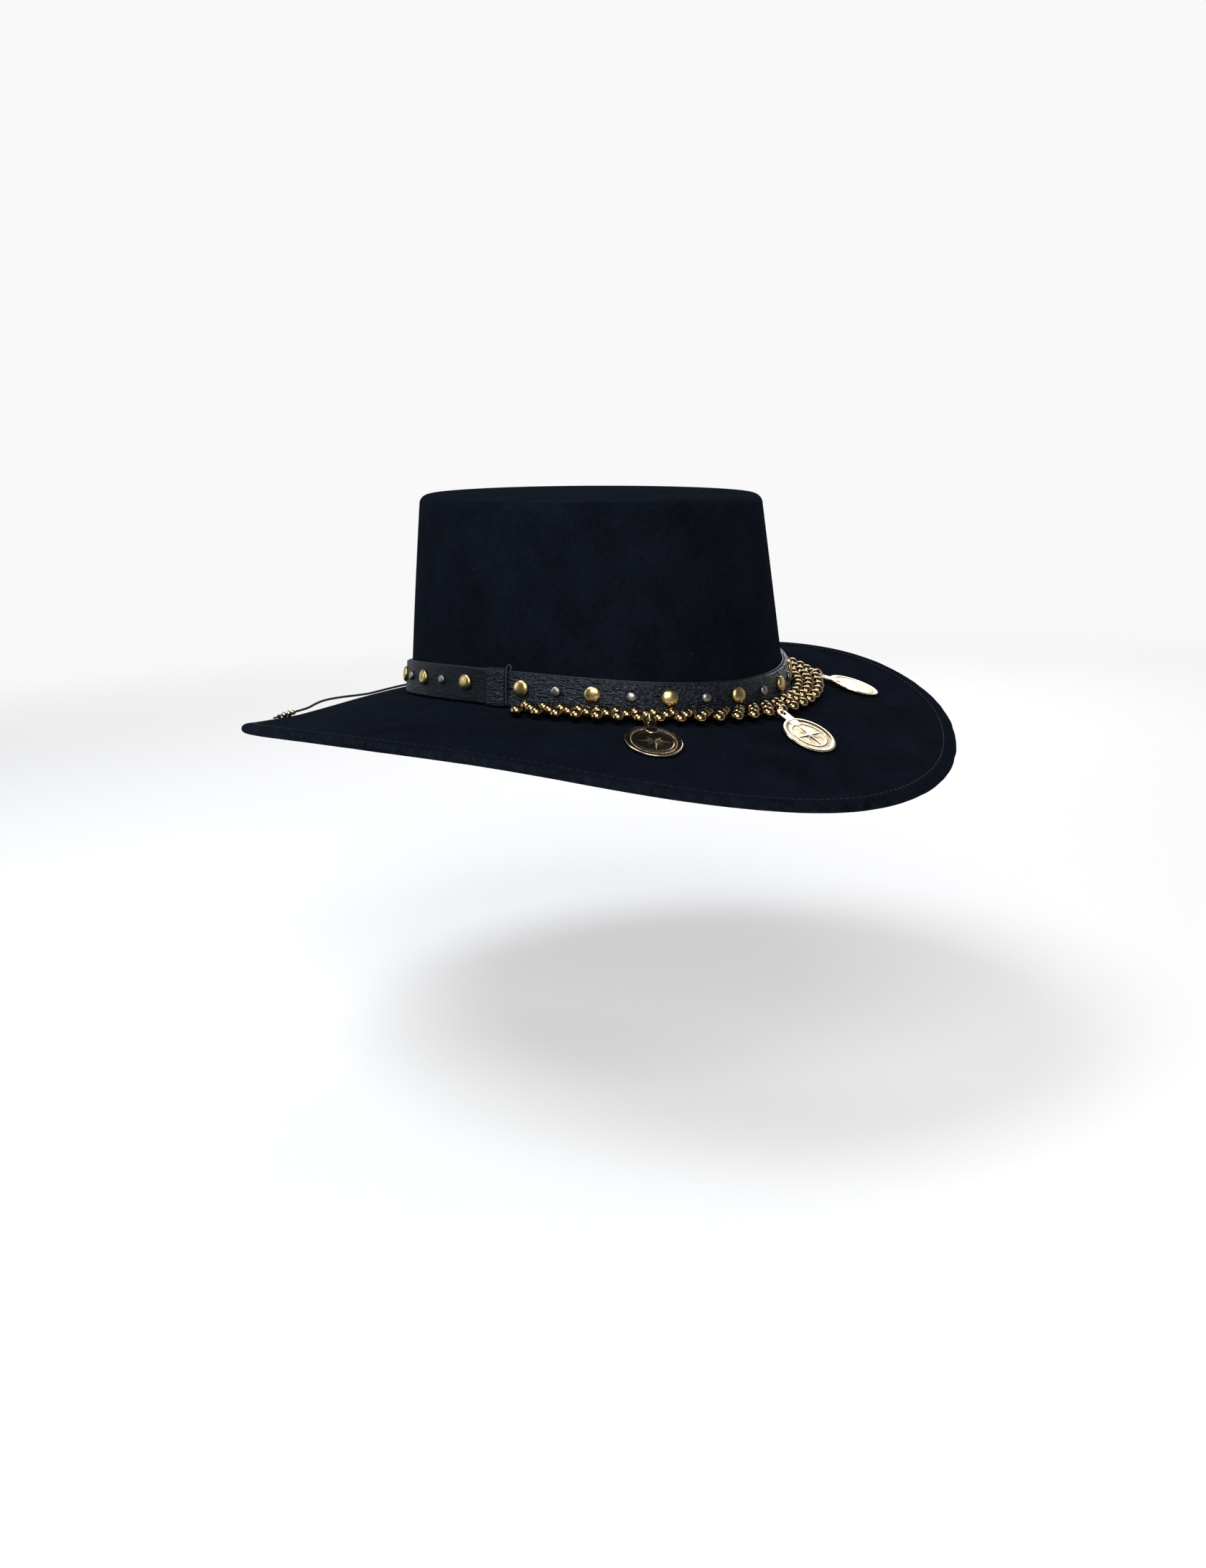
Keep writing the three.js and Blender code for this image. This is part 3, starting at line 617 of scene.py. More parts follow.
def felt_look(colours, sewing):
    """Brushed wool felt, with lint and a worn, puckered edge at the stitches."""
    look = Look(
        "felt",
        {
            "Specular IOR Level": 0.0,
            "Sheen Weight": colours.felt_sheen,
            "Sheen Roughness": 0.45,
            "Sheen Tint": (0.55, 0.68, 1.0, 1.0),
        },
    )
    edge, along = look.lengths()
    cloud = look.noise(55, 4, rough=0.6)
    patch = look.noise(11, 2)
    brushed = look.stretched(look.place, (1.0, 1.0, 0.28))
    nap = look.noise(1500, 3, brushed, warp=0.6)
    fleck = look.noise(480, 3, look.stretched(look.place, (1, 1, 1), shift=(3, 1, 2)))
    tone = cloud * 0.55 + patch * 0.35 + fleck * 0.35 + nap * 0.25 - 0.25
    deep = scaled(colours.felt_colour, 0.6)
    light = scaled(colours.felt_colour, 1.5)
    base = look.mixed(tone.between(0.2, 0.8), deep, light)
    lint_cells = look.stretched(look.place, (1, 1, 1), shift=(0.4, 0.2, 0.7))
    near = look.cells(150, lint_cells, "F1", "Distance", flat=False)
    pick = look.cells(150, lint_cells, "F1", "Color", flat=False)
    chosen = look.node("ShaderNodeSeparateColor", None, {"Color": pick}, "Red")
    lint = (1 - near.between(0.015, 0.05)) * chosen.between(0.955, 0.96)
    base = look.mixed(lint * 0.8, base, (0.09, 0.10, 0.125))
    worn = (1 - edge.size().between(0.0002, 0.0022)) * look.noise(300, 3).between(0.35, 0.75)
    base = look.mixed(worn * 0.35, base, scaled(colours.felt_colour, 3.2))
    pucker = (along * (TURN / sewing.stitch_pitch)).sine() * 0.5 + 0.5
    beside = 1 - (edge - sewing.stitch_inset).size().between(0, 2.2 * MM)
    look.bump(cloud, 1.1 * MM, 0.25)
    look.bump(pucker * beside, 0.3 * MM, 0.6)
    look.bump(fleck, 0.35 * MM, 0.45)
    look.bump(nap, 0.22 * MM, 0.7)
    roughness = 0.88 + nap * 0.1
    return look.finish(base_color=base, roughness=roughness)


def leather_look(name, colour, grain, stretch, depth, shine, pebbled=True, turn=0.0, gloss=0.5):
    """Black leather. Its grain is this wide and deep in metres, stretch times as long as it is
    wide, and turned from the strip's own direction. shine is its roughness where it's polished."""
    look = Look(
        name,
        {
            "Specular IOR Level": gloss,
            "Specular Tint": (0.70, 0.83, 1.0, 1.0),
        },
    )
    uv = look.surface()
    natural = look.warped(uv, 0.55 / grain, 1.1 * grain)
    ran = look.stretched(natural, (1 / stretch, 1, 1), turn)
    edge = look.cells(1 / grain, ran)
    bead = look.cells(1 / grain, ran, "F1")
    pores = look.noise(5200, 2)
    drift = look.noise(90, 3)
    crease = look.noise(0.32 / grain, 4, look.stretched(uv, (0.45, 1.6, 1), turn + 0.5), warp=0.8)
    if pebbled:
        streak = look.noise(0.8 / grain, 4, look.stretched(natural, (0.4, 1.7, 1), turn), warp=0.5)
        relief = edge.between(0.02, 0.32) * (1 - bead * 0.55) * 0.4 + streak.between(0.3, 0.7) * 0.6
        look.bump(relief, depth, 0.75)
        look.bump(crease, depth * 2.2, 0.75)
    else:
        relief = crease
        look.bump(crease, depth * 2.6, 0.8)
        look.bump(edge.between(0.0, 0.3), depth * 0.5, 0.6)
    look.bump(drift, 0.9 * MM, 0.4)
    look.bump(pores, 0.05 * MM, 0.35)
    light = scaled(colour, 2.6, 0.004)
    base = look.mixed((relief * 0.5 + drift * 0.5).between(0.25, 0.85), colour, light)
    rough = (shine + 0.16) - relief * 0.16 + (drift - 0.5) * 0.2 + (pores - 0.5) * 0.1
    return look.finish(base_color=base, roughness=rough)


def satin_look(colours):
    look = Look("satin", {"Anisotropic": 0.5, "Sheen Weight": 0.15, "Specular IOR Level": 0.5})
    yarn = 0.42 * MM
    warp, weft = [(way * (TURN / yarn)).sine() * 0.5 + 0.5 for way in look.lengths()]
    slub = look.noise(260, 3, look.stretched(look.place, (1, 1, 0.15)))
    look.bump(warp * weft, 0.06 * MM, 0.6)
    look.bump(slub, 0.2 * MM, 0.3)
    dark = colours.lining_colour
    base = look.mixed(slub, dark, scaled(dark, 2.2))
    return look.finish(base_color=base, roughness=0.34 + slub * 0.2)


def thread_look(name, colour, twist, shine):
    """Twisted thread or cord: strands run round it at the pitch given, in metres."""
    look = Look(name, {"Specular IOR Level": 0.5, "Sheen Weight": 0.1})
    along, across = look.lengths()
    fuzz = look.noise(3000, 3)
    strand = ((along + across * 0.8) * (TURN / twist)).sine() * 0.5 + 0.5
    look.bump(strand, 0.12 * MM, 0.6)
    look.bump(fuzz, 0.08 * MM, 0.5)
    base = look.mixed(strand * 0.6 + fuzz * 0.4, colour, scaled(colour, 3.0, 0.004))
    return look.finish(base_color=base, roughness=shine + fuzz * 0.2)


def metal_look(name, bright, dull, polish, blotch, wear=1.0, rim=False, dark_and_shade_part=None):
    """Plated metal with tarnish. blotch is the size of its marks in metres. With rim set, a stud's
    outer slope is painted darker as shade. The last argument names the attribute that is 1 on parts
    painted nearly black: dark spacers, and painted shade between the beads."""
    look = Look(name, {"Metallic": 1.0})
    cloud = look.noise(1 / blotch, 4, warp=0.4)
    scratches = look.noise(0.5 / blotch, 6, look.stretched(look.place, (1, 1, 6), 0.6), rough=0.7)
    small = look.noise(6 / blotch, 2)
    slow = look.noise(26, 2)
    tarnish_and_rim_shade = (cloud * 0.65 + slow * 0.5).between(0.42, 0.85) * wear
    # Painted shade: with rim set, the outer slope of a stud's dome is darkened, mixed in with the
    # tarnish.
    if rim:
        tarnish_and_rim_shade = tarnish_and_rim_shade.most(look.attribute("rim").between(0.55, 1.0) * 0.75)
    base = look.mixed(tarnish_and_rim_shade, bright, dull)
    rough = polish + tarnish_and_rim_shade * 0.2 + (scratches - 0.5) * 0.14
    # Parts painted nearly black: the beads' dark spacers and thread, which also stand as painted
    # shade between the beads.
    if dark_and_shade_part:
        part = look.attribute(dark_and_shade_part)
        base = look.mixed(part, base, scaled(dull, 0.04))
        rough = rough + part * 0.4
    look.bump(cloud, 0.12 * MM, 0.35 * wear)
    look.bump(small, 0.015 * MM, 0.4 * wear)
    return look.finish(base_color=base, roughness=rough)


def coin_look(colours):
    """Pale gold that is polished on its raised parts and grimy in its field."""
    look = Look("pale_gold_coin", {"Metallic": 1.0})
    raised = look.attribute("raised")
    cloud = look.noise(420, 4)
    grain = look.noise(2600, 2)
    grime = (1 - raised.between(0.15, 0.8)) * cloud.between(0.25, 0.75)
    base = look.mixed(grime * 0.85, colours.coin_colour, (0.34, 0.24, 0.14))
    base = look.mixed(raised.between(0.7, 1.0) * 0.4, base, (0.95, 0.80, 0.55))
    look.bump(grain, 0.03 * MM, 0.5)
    look.bump(cloud, 0.10 * MM, 0.3)
    rough = 0.17 - raised * 0.05 + cloud * 0.08
    return look.finish(base_color=base, roughness=rough)


def floor_look(stage):
    """A pale floor that fades out into the backdrop."""
    glow = {"Emission Color": (1, 1, 1, 1), "Emission Strength": stage.floor_glow}
    look = Look("pale_floor", {"Specular IOR Level": 0.1, **glow})
    far = look.node("ShaderNodeVectorMath", {"operation": "LENGTH"}, {0: look.place}, "Value")
    mottle = look.noise(2.5, 2)
    base = look.mixed(mottle, stage.floor_colour, scaled(stage.floor_colour, 0.99))
    fade = 1 - far.between(*stage.floor_fade)
    return look.finish(base_color=base, roughness=0.85 + mottle * 0.05, alpha=fade)


# ------------------------------------------------------------------ geometry node trees
class Grower(Tree):
    """A geometry node tree under construction, with named inputs and one material."""

    def __init__(self, name, material):
        group = bpy.data.node_groups.new(name, "GeometryNodeTree")
        super().__init__(group)
        self.material = material
        self.values = {}
        self.add_input("Geometry", "NodeSocketGeometry", None)
        group.interface.new_socket("Geometry", in_out="OUTPUT", socket_type="NodeSocketGeometry")
        self.start = group.nodes.new("NodeGroupInput")

    def add_input(self, name, kind, value):
        self.tree.interface.new_socket(name, in_out="INPUT", socket_type=kind)
        self.values[name] = value

    def given(self, name):
        return Wire(self, self.start.outputs[name])

    def number(self, name, value):
        """Adds an input for a size, and returns its wire."""
        self.add_input(name, "NodeSocketFloat", value)
        return self.given(name)

    def combine(self, x, y, z):
        return self.node("ShaderNodeCombineXYZ", None, {"X": x, "Y": y, "Z": z})

    def field(self, name, kind="FLOAT_VECTOR"):
        return self.node("GeometryNodeInputNamedAttribute", {"data_type": kind}, {"Name": name})

    def stood(self, points, instance, turn, scale=None):
        inputs = {"Points": points, "Instance": instance, "Rotation": turn}
        if scale is not None:
            inputs["Scale"] = scale
        return self.node("GeometryNodeInstanceOnPoints", None, inputs)

    def merged(self, *parts):
        made = self.tree.nodes.new("GeometryNodeJoinGeometry")
        for part in parts:
            self.tree.links.new(part.socket, made.inputs[0])
        return Wire(self, made.outputs[0])

    def grow(self, name, mesh, geometry):
        """Ends the tree, runs it on the mesh and returns the plain mesh that it makes."""
        self.add_input("Material", "NodeSocketMaterial", self.material)
        real = self.node("GeometryNodeRealizeInstances", None, {"Geometry": geometry})
        smooth = self.node("GeometryNodeSetShadeSmooth", None, {"Geometry": real})
        inputs = {"Geometry": smooth, "Material": self.given("Material")}
        painted = self.node("GeometryNodeSetMaterial", None, inputs)
        end = self.tree.nodes.new("NodeGroupOutput")
        self.tree.links.new(painted.socket, end.inputs[0])
        seed = add_object(f"{name}_seed", mesh)
        modifier = seed.modifiers.new(name, "NODES")
        modifier.node_group = self.tree
        for item in self.tree.interface.items_tree:
            value = self.values.get(item.name)
            if item.in_out == "INPUT" and value is not None:
                modifier[item.identifier] = value
        graph = bpy.context.evaluated_depsgraph_get()
        made = bpy.data.meshes.new_from_object(seed.evaluated_get(graph))
        seed.modifiers.remove(modifier)
        bpy.data.objects.remove(seed)
        made.name = name
        return made


def points_mesh(name, places, turns=None, chain=False, marks=None):
    """A mesh of loose points, or of one chain of them, with each point's turn as an attribute."""
    mesh = bpy.data.meshes.new(name)
    links = [(i, i + 1) for i in range(len(places) - 1)] if chain else []
    mesh.from_pydata([tuple(p) for p in places], links, [])
    if turns is not None:
        layer = mesh.attributes.new("turn", "FLOAT_VECTOR", "POINT")
        layer.data.foreach_set("vector", [value for turn in turns for value in turn])
    if marks is not None:
        layer = mesh.attributes.new("mark", "FLOAT", "POINT")
        layer.data.foreach_set("value", marks)
    return mesh


def stud_mesh(name, diameter, height, material, frames):
    """Domed studs on the frames given, each turned a little about its own middle."""
    r = diameter / 2
    profile = [
        (0, -0.25 * MM),
        (r * 0.97, -0.25 * MM),
        (r, 0.02 * MM),
        (r * 0.995, height * 0.24),
        (r * 0.95, height * 0.44),
        (r * 0.84, height * 0.66),
        (r * 0.66, height * 0.84),
        (r * 0.42, height * 0.95),
        (r * 0.18, height * 0.995),
        (0, height),
    ]
    dome = lathe(f"{name}_dome", profile, 32)
    # Share of the radius, used to paint shade on the dome's outer slope.
    rim = dome.attributes.new("rim", "FLOAT", "POINT")
    rim.data.foreach_set("value", [math.hypot(v.co.x, v.co.y) / r for v in dome.vertices])
    model = add_object(f"{name}_model", dome)
    turned = []
    for i, at in enumerate(frames):
        lean = Matrix.Rotation(math.radians(1.6 * math.sin(2.3 * i)), 4, "X")
        own = at @ lean @ Matrix.Rotation(1.9 * i, 4, "Z")
        turned.append(tuple(own.to_euler()))
    tree = Grower(name, material)
    tree.add_input("Stud", "NodeSocketObject", model)
    size = tree.number("Scale", 1.0)
    shape = tree.node("GeometryNodeObjectInfo", None, {"Object": tree.given("Stud")}, "Geometry")
    turn = tree.node("FunctionNodeEulerToRotation", None, {"Euler": tree.field("turn")})
    studs = tree.stood(tree.given("Geometry"), shape, turn, tree.combine(size, size, size))
    seed = points_mesh(name, [at.translation for at in frames], turned)
    made = tree.grow(name, seed, studs)
    bpy.data.objects.remove(model)
    return made


def stitch_mesh(name, path, material, pitch, length, radius):
    """Stitches of thread one behind another along a path, each a little rounded body."""
    tree = Grower(name, material)
    step = tree.number("Pitch", pitch)
    long = tree.number("Stitch length", length)
    thick = tree.number("Thread radius", radius)
    line = tree.node("GeometryNodeMeshToCurve", None, {"Mesh": tree.given("Geometry")})
    even = tree.node(
        "GeometryNodeResampleCurve", {"mode": "LENGTH"}, {"Curve": line, "Length": step}
    )
    stitch = tree.node(
        "GeometryNodeMeshUVSphere", None, {"Segments": 8, "Rings": 6, "Radius": 1.0}, "Mesh"
    )
    ahead = tree.node("GeometryNodeInputTangent")
    turn = tree.node(
        "FunctionNodeAlignRotationToVector", {"axis": "X"}, {"Vector": ahead}
    )
    scale = tree.combine(long * 0.5, thick, thick)
    stitches = tree.stood(even, stitch, turn, scale)
    return tree.grow(name, points_mesh(name, path, chain=True), stitches)


def bead_row_mesh(name, path, marks, material):
    """Beads on their thread, with a collar at each side of each bead. The path has a point at
    each bead, whose mark is 1, and one at the middle of each gap, whose mark is 0."""
    tree = Grower(name, material)
    ball_radius = tree.number("Bead radius", BEAD_DIAMETER / 2)
    collar_radius = tree.number("Collar radius", 0.8 * MM)
    collar_length = tree.number("Collar length", 1.3 * MM)
    thread_radius = tree.number("Thread radius", 0.5 * MM)
    line = tree.node("GeometryNodeMeshToCurve", None, {"Mesh": tree.given("Geometry")})
    outline = {"Resolution": 8, "Radius": thread_radius}
    section = tree.node("GeometryNodeCurvePrimitiveCircle", None, outline, "Curve")
    tube = {"Curve": line, "Profile Curve": section, "Fill Caps": True}
    string = tree.node("GeometryNodeCurveToMesh", None, tube)
    sphere = {"Segments": 28, "Rings": 16, "Radius": ball_radius}
    ball = tree.node("GeometryNodeMeshUVSphere", None, sphere, "Mesh")
    ring = {"Vertices": 14, "Radius": 1.0, "Depth": 1.0}
    collar = tree.node("GeometryNodeMeshCylinder", None, ring, "Mesh")
    ahead = tree.node("GeometryNodeInputTangent")
    turn = tree.node(
        "FunctionNodeAlignRotationToVector",
        {"axis": "Z"},
        {"Vector": tree.field("tangent")},
    )
    line_marked = tree.node(
        "GeometryNodeStoreNamedAttribute",
        {"data_type": "FLOAT_VECTOR", "domain": "POINT"},
        {"Geometry": line, "Name": "tangent", "Value": ahead},
    )
    points = tree.node(
        "GeometryNodeCurveToPoints", {"mode": "EVALUATED"}, {"Curve": line_marked}, "Points"
    )
    is_bead = tree.node(
        "FunctionNodeCompare",
        {"data_type": "FLOAT", "operation": "GREATER_THAN"},
        {"A": tree.field("mark", "FLOAT"), "B": 0.5},
    )
    chosen = {"Geometry": points, "Selection": is_bead}
    places = tree.node("GeometryNodeSeparateGeometry", None, chosen)
    balls = tree.stood(places, ball, turn)
    long = collar_length + ball_radius * 2
    collars = tree.stood(places, collar, turn, tree.combine(collar_radius, collar_radius, long))
    # The thread and collars, to be painted nearly black: dark spacers, and painted shade between
    # the beads.
    dark_and_shade_parts = {"Geometry": tree.merged(string, collars)}
    real = tree.node("GeometryNodeRealizeInstances", None, dark_and_shade_parts)
    between = tree.node(
        "GeometryNodeStoreNamedAttribute",
        {"data_type": "FLOAT", "domain": "POINT"},
        {"Geometry": real, "Name": "between", "Value": 1.0},
    )
    seed = points_mesh(name, path, chain=True, marks=marks)
    return tree.grow(name, seed, tree.merged(between, balls))


def dot_ring_mesh(name, centre, axes, radius, count, size, material):
    """A ring of raised dots on a medallion's face."""
    tree = Grower(name, material)
    dots = tree.number("Dot radius", size)
    rise = tree.number("Dot height", size * 0.7)
    dot = tree.node("GeometryNodeMeshIcoSphere", None, {"Radius": 1.0, "Subdivisions": 2}, "Mesh")
    turn = tree.node("FunctionNodeEulerToRotation", None, {"Euler": tree.field("turn")})
    made = tree.stood(tree.given("Geometry"), dot, turn, tree.combine(dots, dots, rise))
    place = Matrix.Translation(centre) @ axes.to_4x4()
    ring = np.arange(count) / count * TURN
    places = [place @ Vector((radius * math.cos(t), radius * math.sin(t), 0)) for t in ring]
    turns = [tuple(axes.to_euler())] * count
    return tree.grow(name, points_mesh(name, places, turns), made)


# ------------------------------------------------------------------ felt
def top_ring(angles, share):
    """A ring on the crown's slightly domed top, at a share of the way out to its rounded edge."""
    p = around(angles, (TOP_HALF_LENGTH - TOP_EDGE) * share, (TOP_HALF_WIDTH - TOP_EDGE) * share)
    p[:, 2] = top_height(p[:, 1]) + TOP_DOME * (1 - share**3.5)
    return p


def crown_rings(angles):
    """Rings of the crown's outside, from the middle of its top down to the brim's break."""
    rings = [top_ring(angles, share) for share in np.linspace(0.03, 1, 18)[:-1]]
    for turn in np.radians(np.linspace(0, 90, 11)):
        inset = TOP_EDGE * (1 - math.sin(turn))
        p = on_wall(angles, wall_top(angles), -inset)
        p[:, 2] = top_height(p[:, 1]) - TOP_EDGE * (1 - math.cos(turn))
        rings.append(p)
    foot = break_height(angles) + BREAK_RADIUS
    for share in np.linspace(1, 0, 30)[1:]:
        z = foot + (wall_top(angles) - foot) * share
        sag = wobble(angles, *WALL_SAG) * math.sin(math.pi * share)
        rings.append(on_wall(angles, z, sag))
    for turn in np.radians([70, 50, 30, 12]):
        out = BREAK_RADIUS * (1 - math.cos(math.pi / 2 - turn))
        p = on_wall(angles, break_height(angles), out)
        p[:, 2] += BREAK_RADIUS * (1 - math.sin(math.pi / 2 - turn))
        rings.append(p)
    return rings


def fold_half_thickness(inset, groove):
    """Half the brim's thickness at a distance in from its edge, which is folded and stitched."""
    rise = min(1.0, max(0.0, (FOLD_WIDTH - inset) / (1.1 * MM)))
    rise = rise * rise * (3 - 2 * rise)
    flat = FELT / 2 + (FOLD_THICKNESS - FELT) / 2 * rise
    pinch = math.exp(-(((inset - groove) / (0.8 * MM)) ** 2))
    puff = 0.12 * MM * math.sin(math.pi * min(1.0, inset / groove))
    flat += puff * rise - 0.42 * MM * pinch * rise
    edge_round = FOLD_THICKNESS / 2
    if inset >= edge_round:
        return flat
    return min(flat, math.sqrt(max(0.0, edge_round**2 - (edge_round - inset) ** 2)))


def felt_mesh(sewing):
    """The felt body as one skin: the crown's outside, the brim's top, its folded edge, its
    underside and the crown's inside. Its UV map's first value is the length in from the edge."""
    sides = 384
    angles = np.arange(sides) / sides * TURN
    edge_line = on_brim(angles, np.ones(sides))
    across = lengths_along(edge_line, close=True)
    width = brim_width(angles)
    ripple = wobble(angles, *RIPPLE)
    nibble = wobble(angles, *NIBBLE)

    def brim_ring(inset, side, half):
        share = 1 - inset / width
        p = on_brim(angles, share)
        lean = p - on_brim(angles, share - 0.001)
        lean[:, 2] = 0
        p += unit(lean) * (nibble * max(0.0, 1 - inset / (4 * MM)))[:, None]
        p[:, 2] += side * half + ripple * np.clip(share, 0, 1) ** 2
        return p

    rings = crown_rings(angles)
    along = [0.2 - 0.001 * i for i in range(len(rings))]
    groove = sewing.stitch_inset
    mean_width = float(width.mean())
    folded = [groove + d * MM for d in (1.5, 1.1, 0.85, 0.6, 0.3, 0, -0.3, -0.7)]
    folded += [d * MM for d in (4.9, 4.2, 3.4, 2.6, 2.0, 1.4, 0.9, 0.5, 0.2, 0.05)]
    for share in np.linspace(0.03, 0.9, 34):
        p = on_brim(angles, share + 0 * angles)
        p[:, 2] += FELT / 2 + ripple * share**2
        rings.append(p)
        along.append((1 - share) * mean_width)
    for side in (1, -1):
        for inset in folded if side > 0 else folded[::-1]:
            rings.append(brim_ring(inset, side, fold_half_thickness(inset, groove)))
            along.append(inset)
        if side > 0:
            rings.append(brim_ring(0, 1, 0))
            along.append(0.0)
    for share in np.linspace(0.9, 0.05, 22):
        p = on_brim(angles, share + 0 * angles)
        p[:, 2] += -FELT / 2 + ripple * share**2
        rings.append(p)
        along.append((1 - share) * mean_width)
    low = break_height(angles) - FELT
    rings.append(on_wall(angles, low + 0.1 * MM, -FELT + BREAK_RADIUS * 0.9))
    rings.append(on_wall(angles, low + 0.5 * MM, -FELT + BREAK_RADIUS * 0.3))
    top = wall_top(angles)
    foot = low + BREAK_RADIUS
    for share in np.linspace(0, 1, 12):
        rings.append(on_wall(angles, foot + (top - foot) * share, -FELT))
    inner_edge = TOP_EDGE - FELT
    for turn in np.radians([60, 30, 0]):
        inset = FELT + inner_edge * (1 - math.sin(turn))
        p = on_wall(angles, top, -inset)
        p[:, 2] = top_height(p[:, 1]) - FELT - inner_edge * (1 - math.cos(turn))
        rings.append(p)
    for share in (0.7, 0.35, 0.05):
        p = top_ring(angles, share)
        p[:, 2] -= FELT
        rings.append(p)
    along += [0.2] * (len(rings) - len(along))
    return loft("felt_hat", rings, along, across)


def brim_stitch_path(sewing, side):
    """The line of the stitches, in their groove on the brim's top (1) or underside (-1)."""
    angles = np.linspace(0, TURN, 480)
    inset = sewing.stitch_inset
    share = 1 - inset / brim_width(angles)
    p = on_brim(angles, share)
    half = fold_half_thickness(inset, inset) + 0.06 * MM
    p[:, 2] += side * half + wobble(angles, *RIPPLE) * share**2
    return p


# ------------------------------------------------------------------ inside the crown
def lining_mesh():
    sides = 240
    angles = np.arange(sides) / sides * TURN
    inset = FELT + CLEARANCE
    thick = LINING_THICKNESS
    high = CROWN_HEIGHT - TOP_EDGE - TOP_RAKE - inset
    low = LINING_FOOT
    pleats = 0.5 * MM * np.sin(24 * angles)

    def roof(edge, down):
        p = on_wall(angles, wall_top(angles), -edge)
        p[:, 2] = top_height(p[:, 1]) - down
        return p

    corner = TOP_EDGE + inset
    rings = [roof(corner + 40 * MM, inset)]
    rings += [roof(corner + d * MM, inset) for d in (25, 12, 5, 1.5)]
    for share in np.linspace(1, 0, 14):
        rings.append(on_wall(angles, low + (high - low) * share + 0 * angles, -inset))
    for share in np.linspace(0, 1, 14):
        folds = pleats * math.sin(math.pi * share) ** 0.5
        z = low + (high - 1 * MM - low) * share + 0 * angles
        rings.append(on_wall(angles, z, -inset - thick + folds * 0.6))
    rings += [roof(corner + d * MM, inset + thick) for d in (1.5, 5, 12, 25, 40)]
    along = lengths_along(np.array(rings)[:, 0])
    across = lengths_along(on_wall(angles, 0.05, -inset), close=True)
    return loft("crown_lining_satin", rings, along, across)


def sweatband_mesh():
    """The leather band inside the head opening, which leans in over the lining's foot."""
    near = FELT + CLEARANCE
    thick = SWEATBAND_THICKNESS
    behind = near + LINING_THICKNESS + CLEARANCE
    low, high = SWEATBAND_FOOT, SWEATBAND_FOOT + SWEATBAND_HEIGHT
    skive = 0.2 * MM
    outer = [(-near, low), (-behind, SWEATBAND_HEM), (-behind, high)]
    inner = [(-behind - thick, high - skive), (-behind - thick, SWEATBAND_HEM)]
    inner.append((-near - thick, low + skive))
    section = subdivided(outer + inner, 4 * MM)
    return wall_strip("sweatband_leather", 0, TURN, section, 2.5 * MM, closed=True)


def bow_mesh():
    """A flat ribbon bow: two loops that pinch in to a knot, on the sweatband at the left."""
    at = wall_frame(math.pi / 2, SWEATBAND_FOOT + SWEATBAND_HEIGHT * 0.7, -BOW_INSET)
    lift = 0.7 * MM  # of the ribbon's middle from the sweatband
    sides = 16
    turns = np.arange(sides) / sides * TURN
    parts = []
    for side in (-1, 1):
        rings = []
        for s in np.linspace(0, 1, 15):
            x = side * (0.6 * MM + 6.7 * MM * s)
            tall = (1.1 + 2.3 * math.sin(math.pi / 2 * min(1, s * 1.15))) * MM
            puff = (0.16 + 0.36 * math.sin(math.pi * s) ** 0.7) * MM
            ring = [(x, tall * math.cos(t), lift + puff * math.sin(t)) for t in turns]
            rings.append([at @ Vector(p) for p in ring])
        across = np.arange(sides + 1) * 0.6 * MM
        parts.append(loft("bow_loop", rings, np.arange(len(rings)) * 0.5 * MM, across))
    knot = []
    for s in np.linspace(-1, 1, 9):
        r = math.sqrt(max(0.02, 1 - s**4))
        wide, deep = 1.25 * MM * r, 0.65 * MM * r
        ring = [(wide * math.cos(t), 1.7 * MM * s, lift + deep * math.sin(t)) for t in turns]
        knot.append([at @ Vector(p) for p in ring])
    across = np.arange(sides + 1) * 0.5 * MM
    parts.append(loft("bow_knot", knot, np.arange(len(knot)) * 0.4 * MM, across))
    return joined("sweatband_bow_ribbon", parts)


# ------------------------------------------------------------------ hatband
def band_section():
    low, high = BAND_LIFT, BAND_LIFT + BAND_HEIGHT
    section = rounded_box(low, high, BAND_INSIDE, BAND_OUTSIDE, 0.55 * MM)
    return subdivided(section, 0.9 * MM)


def strip_unevenness(strength):
    def shift(angle, up):
        share = (up - BAND_LIFT) / BAND_HEIGHT
        waves = np.sin(angle * 23 + share * 5) * 0.5 + np.sin(angle * 51 - share * 7) * 0.3
        return strength * (waves - 0.5) * np.sin(math.pi * np.clip(share, 0, 1))

    return shift


def angle_across(length):
    """The angle that a length along the crown's side takes up, where the keepers are."""
    return length / CROWN_HALF_LENGTH / 0.86


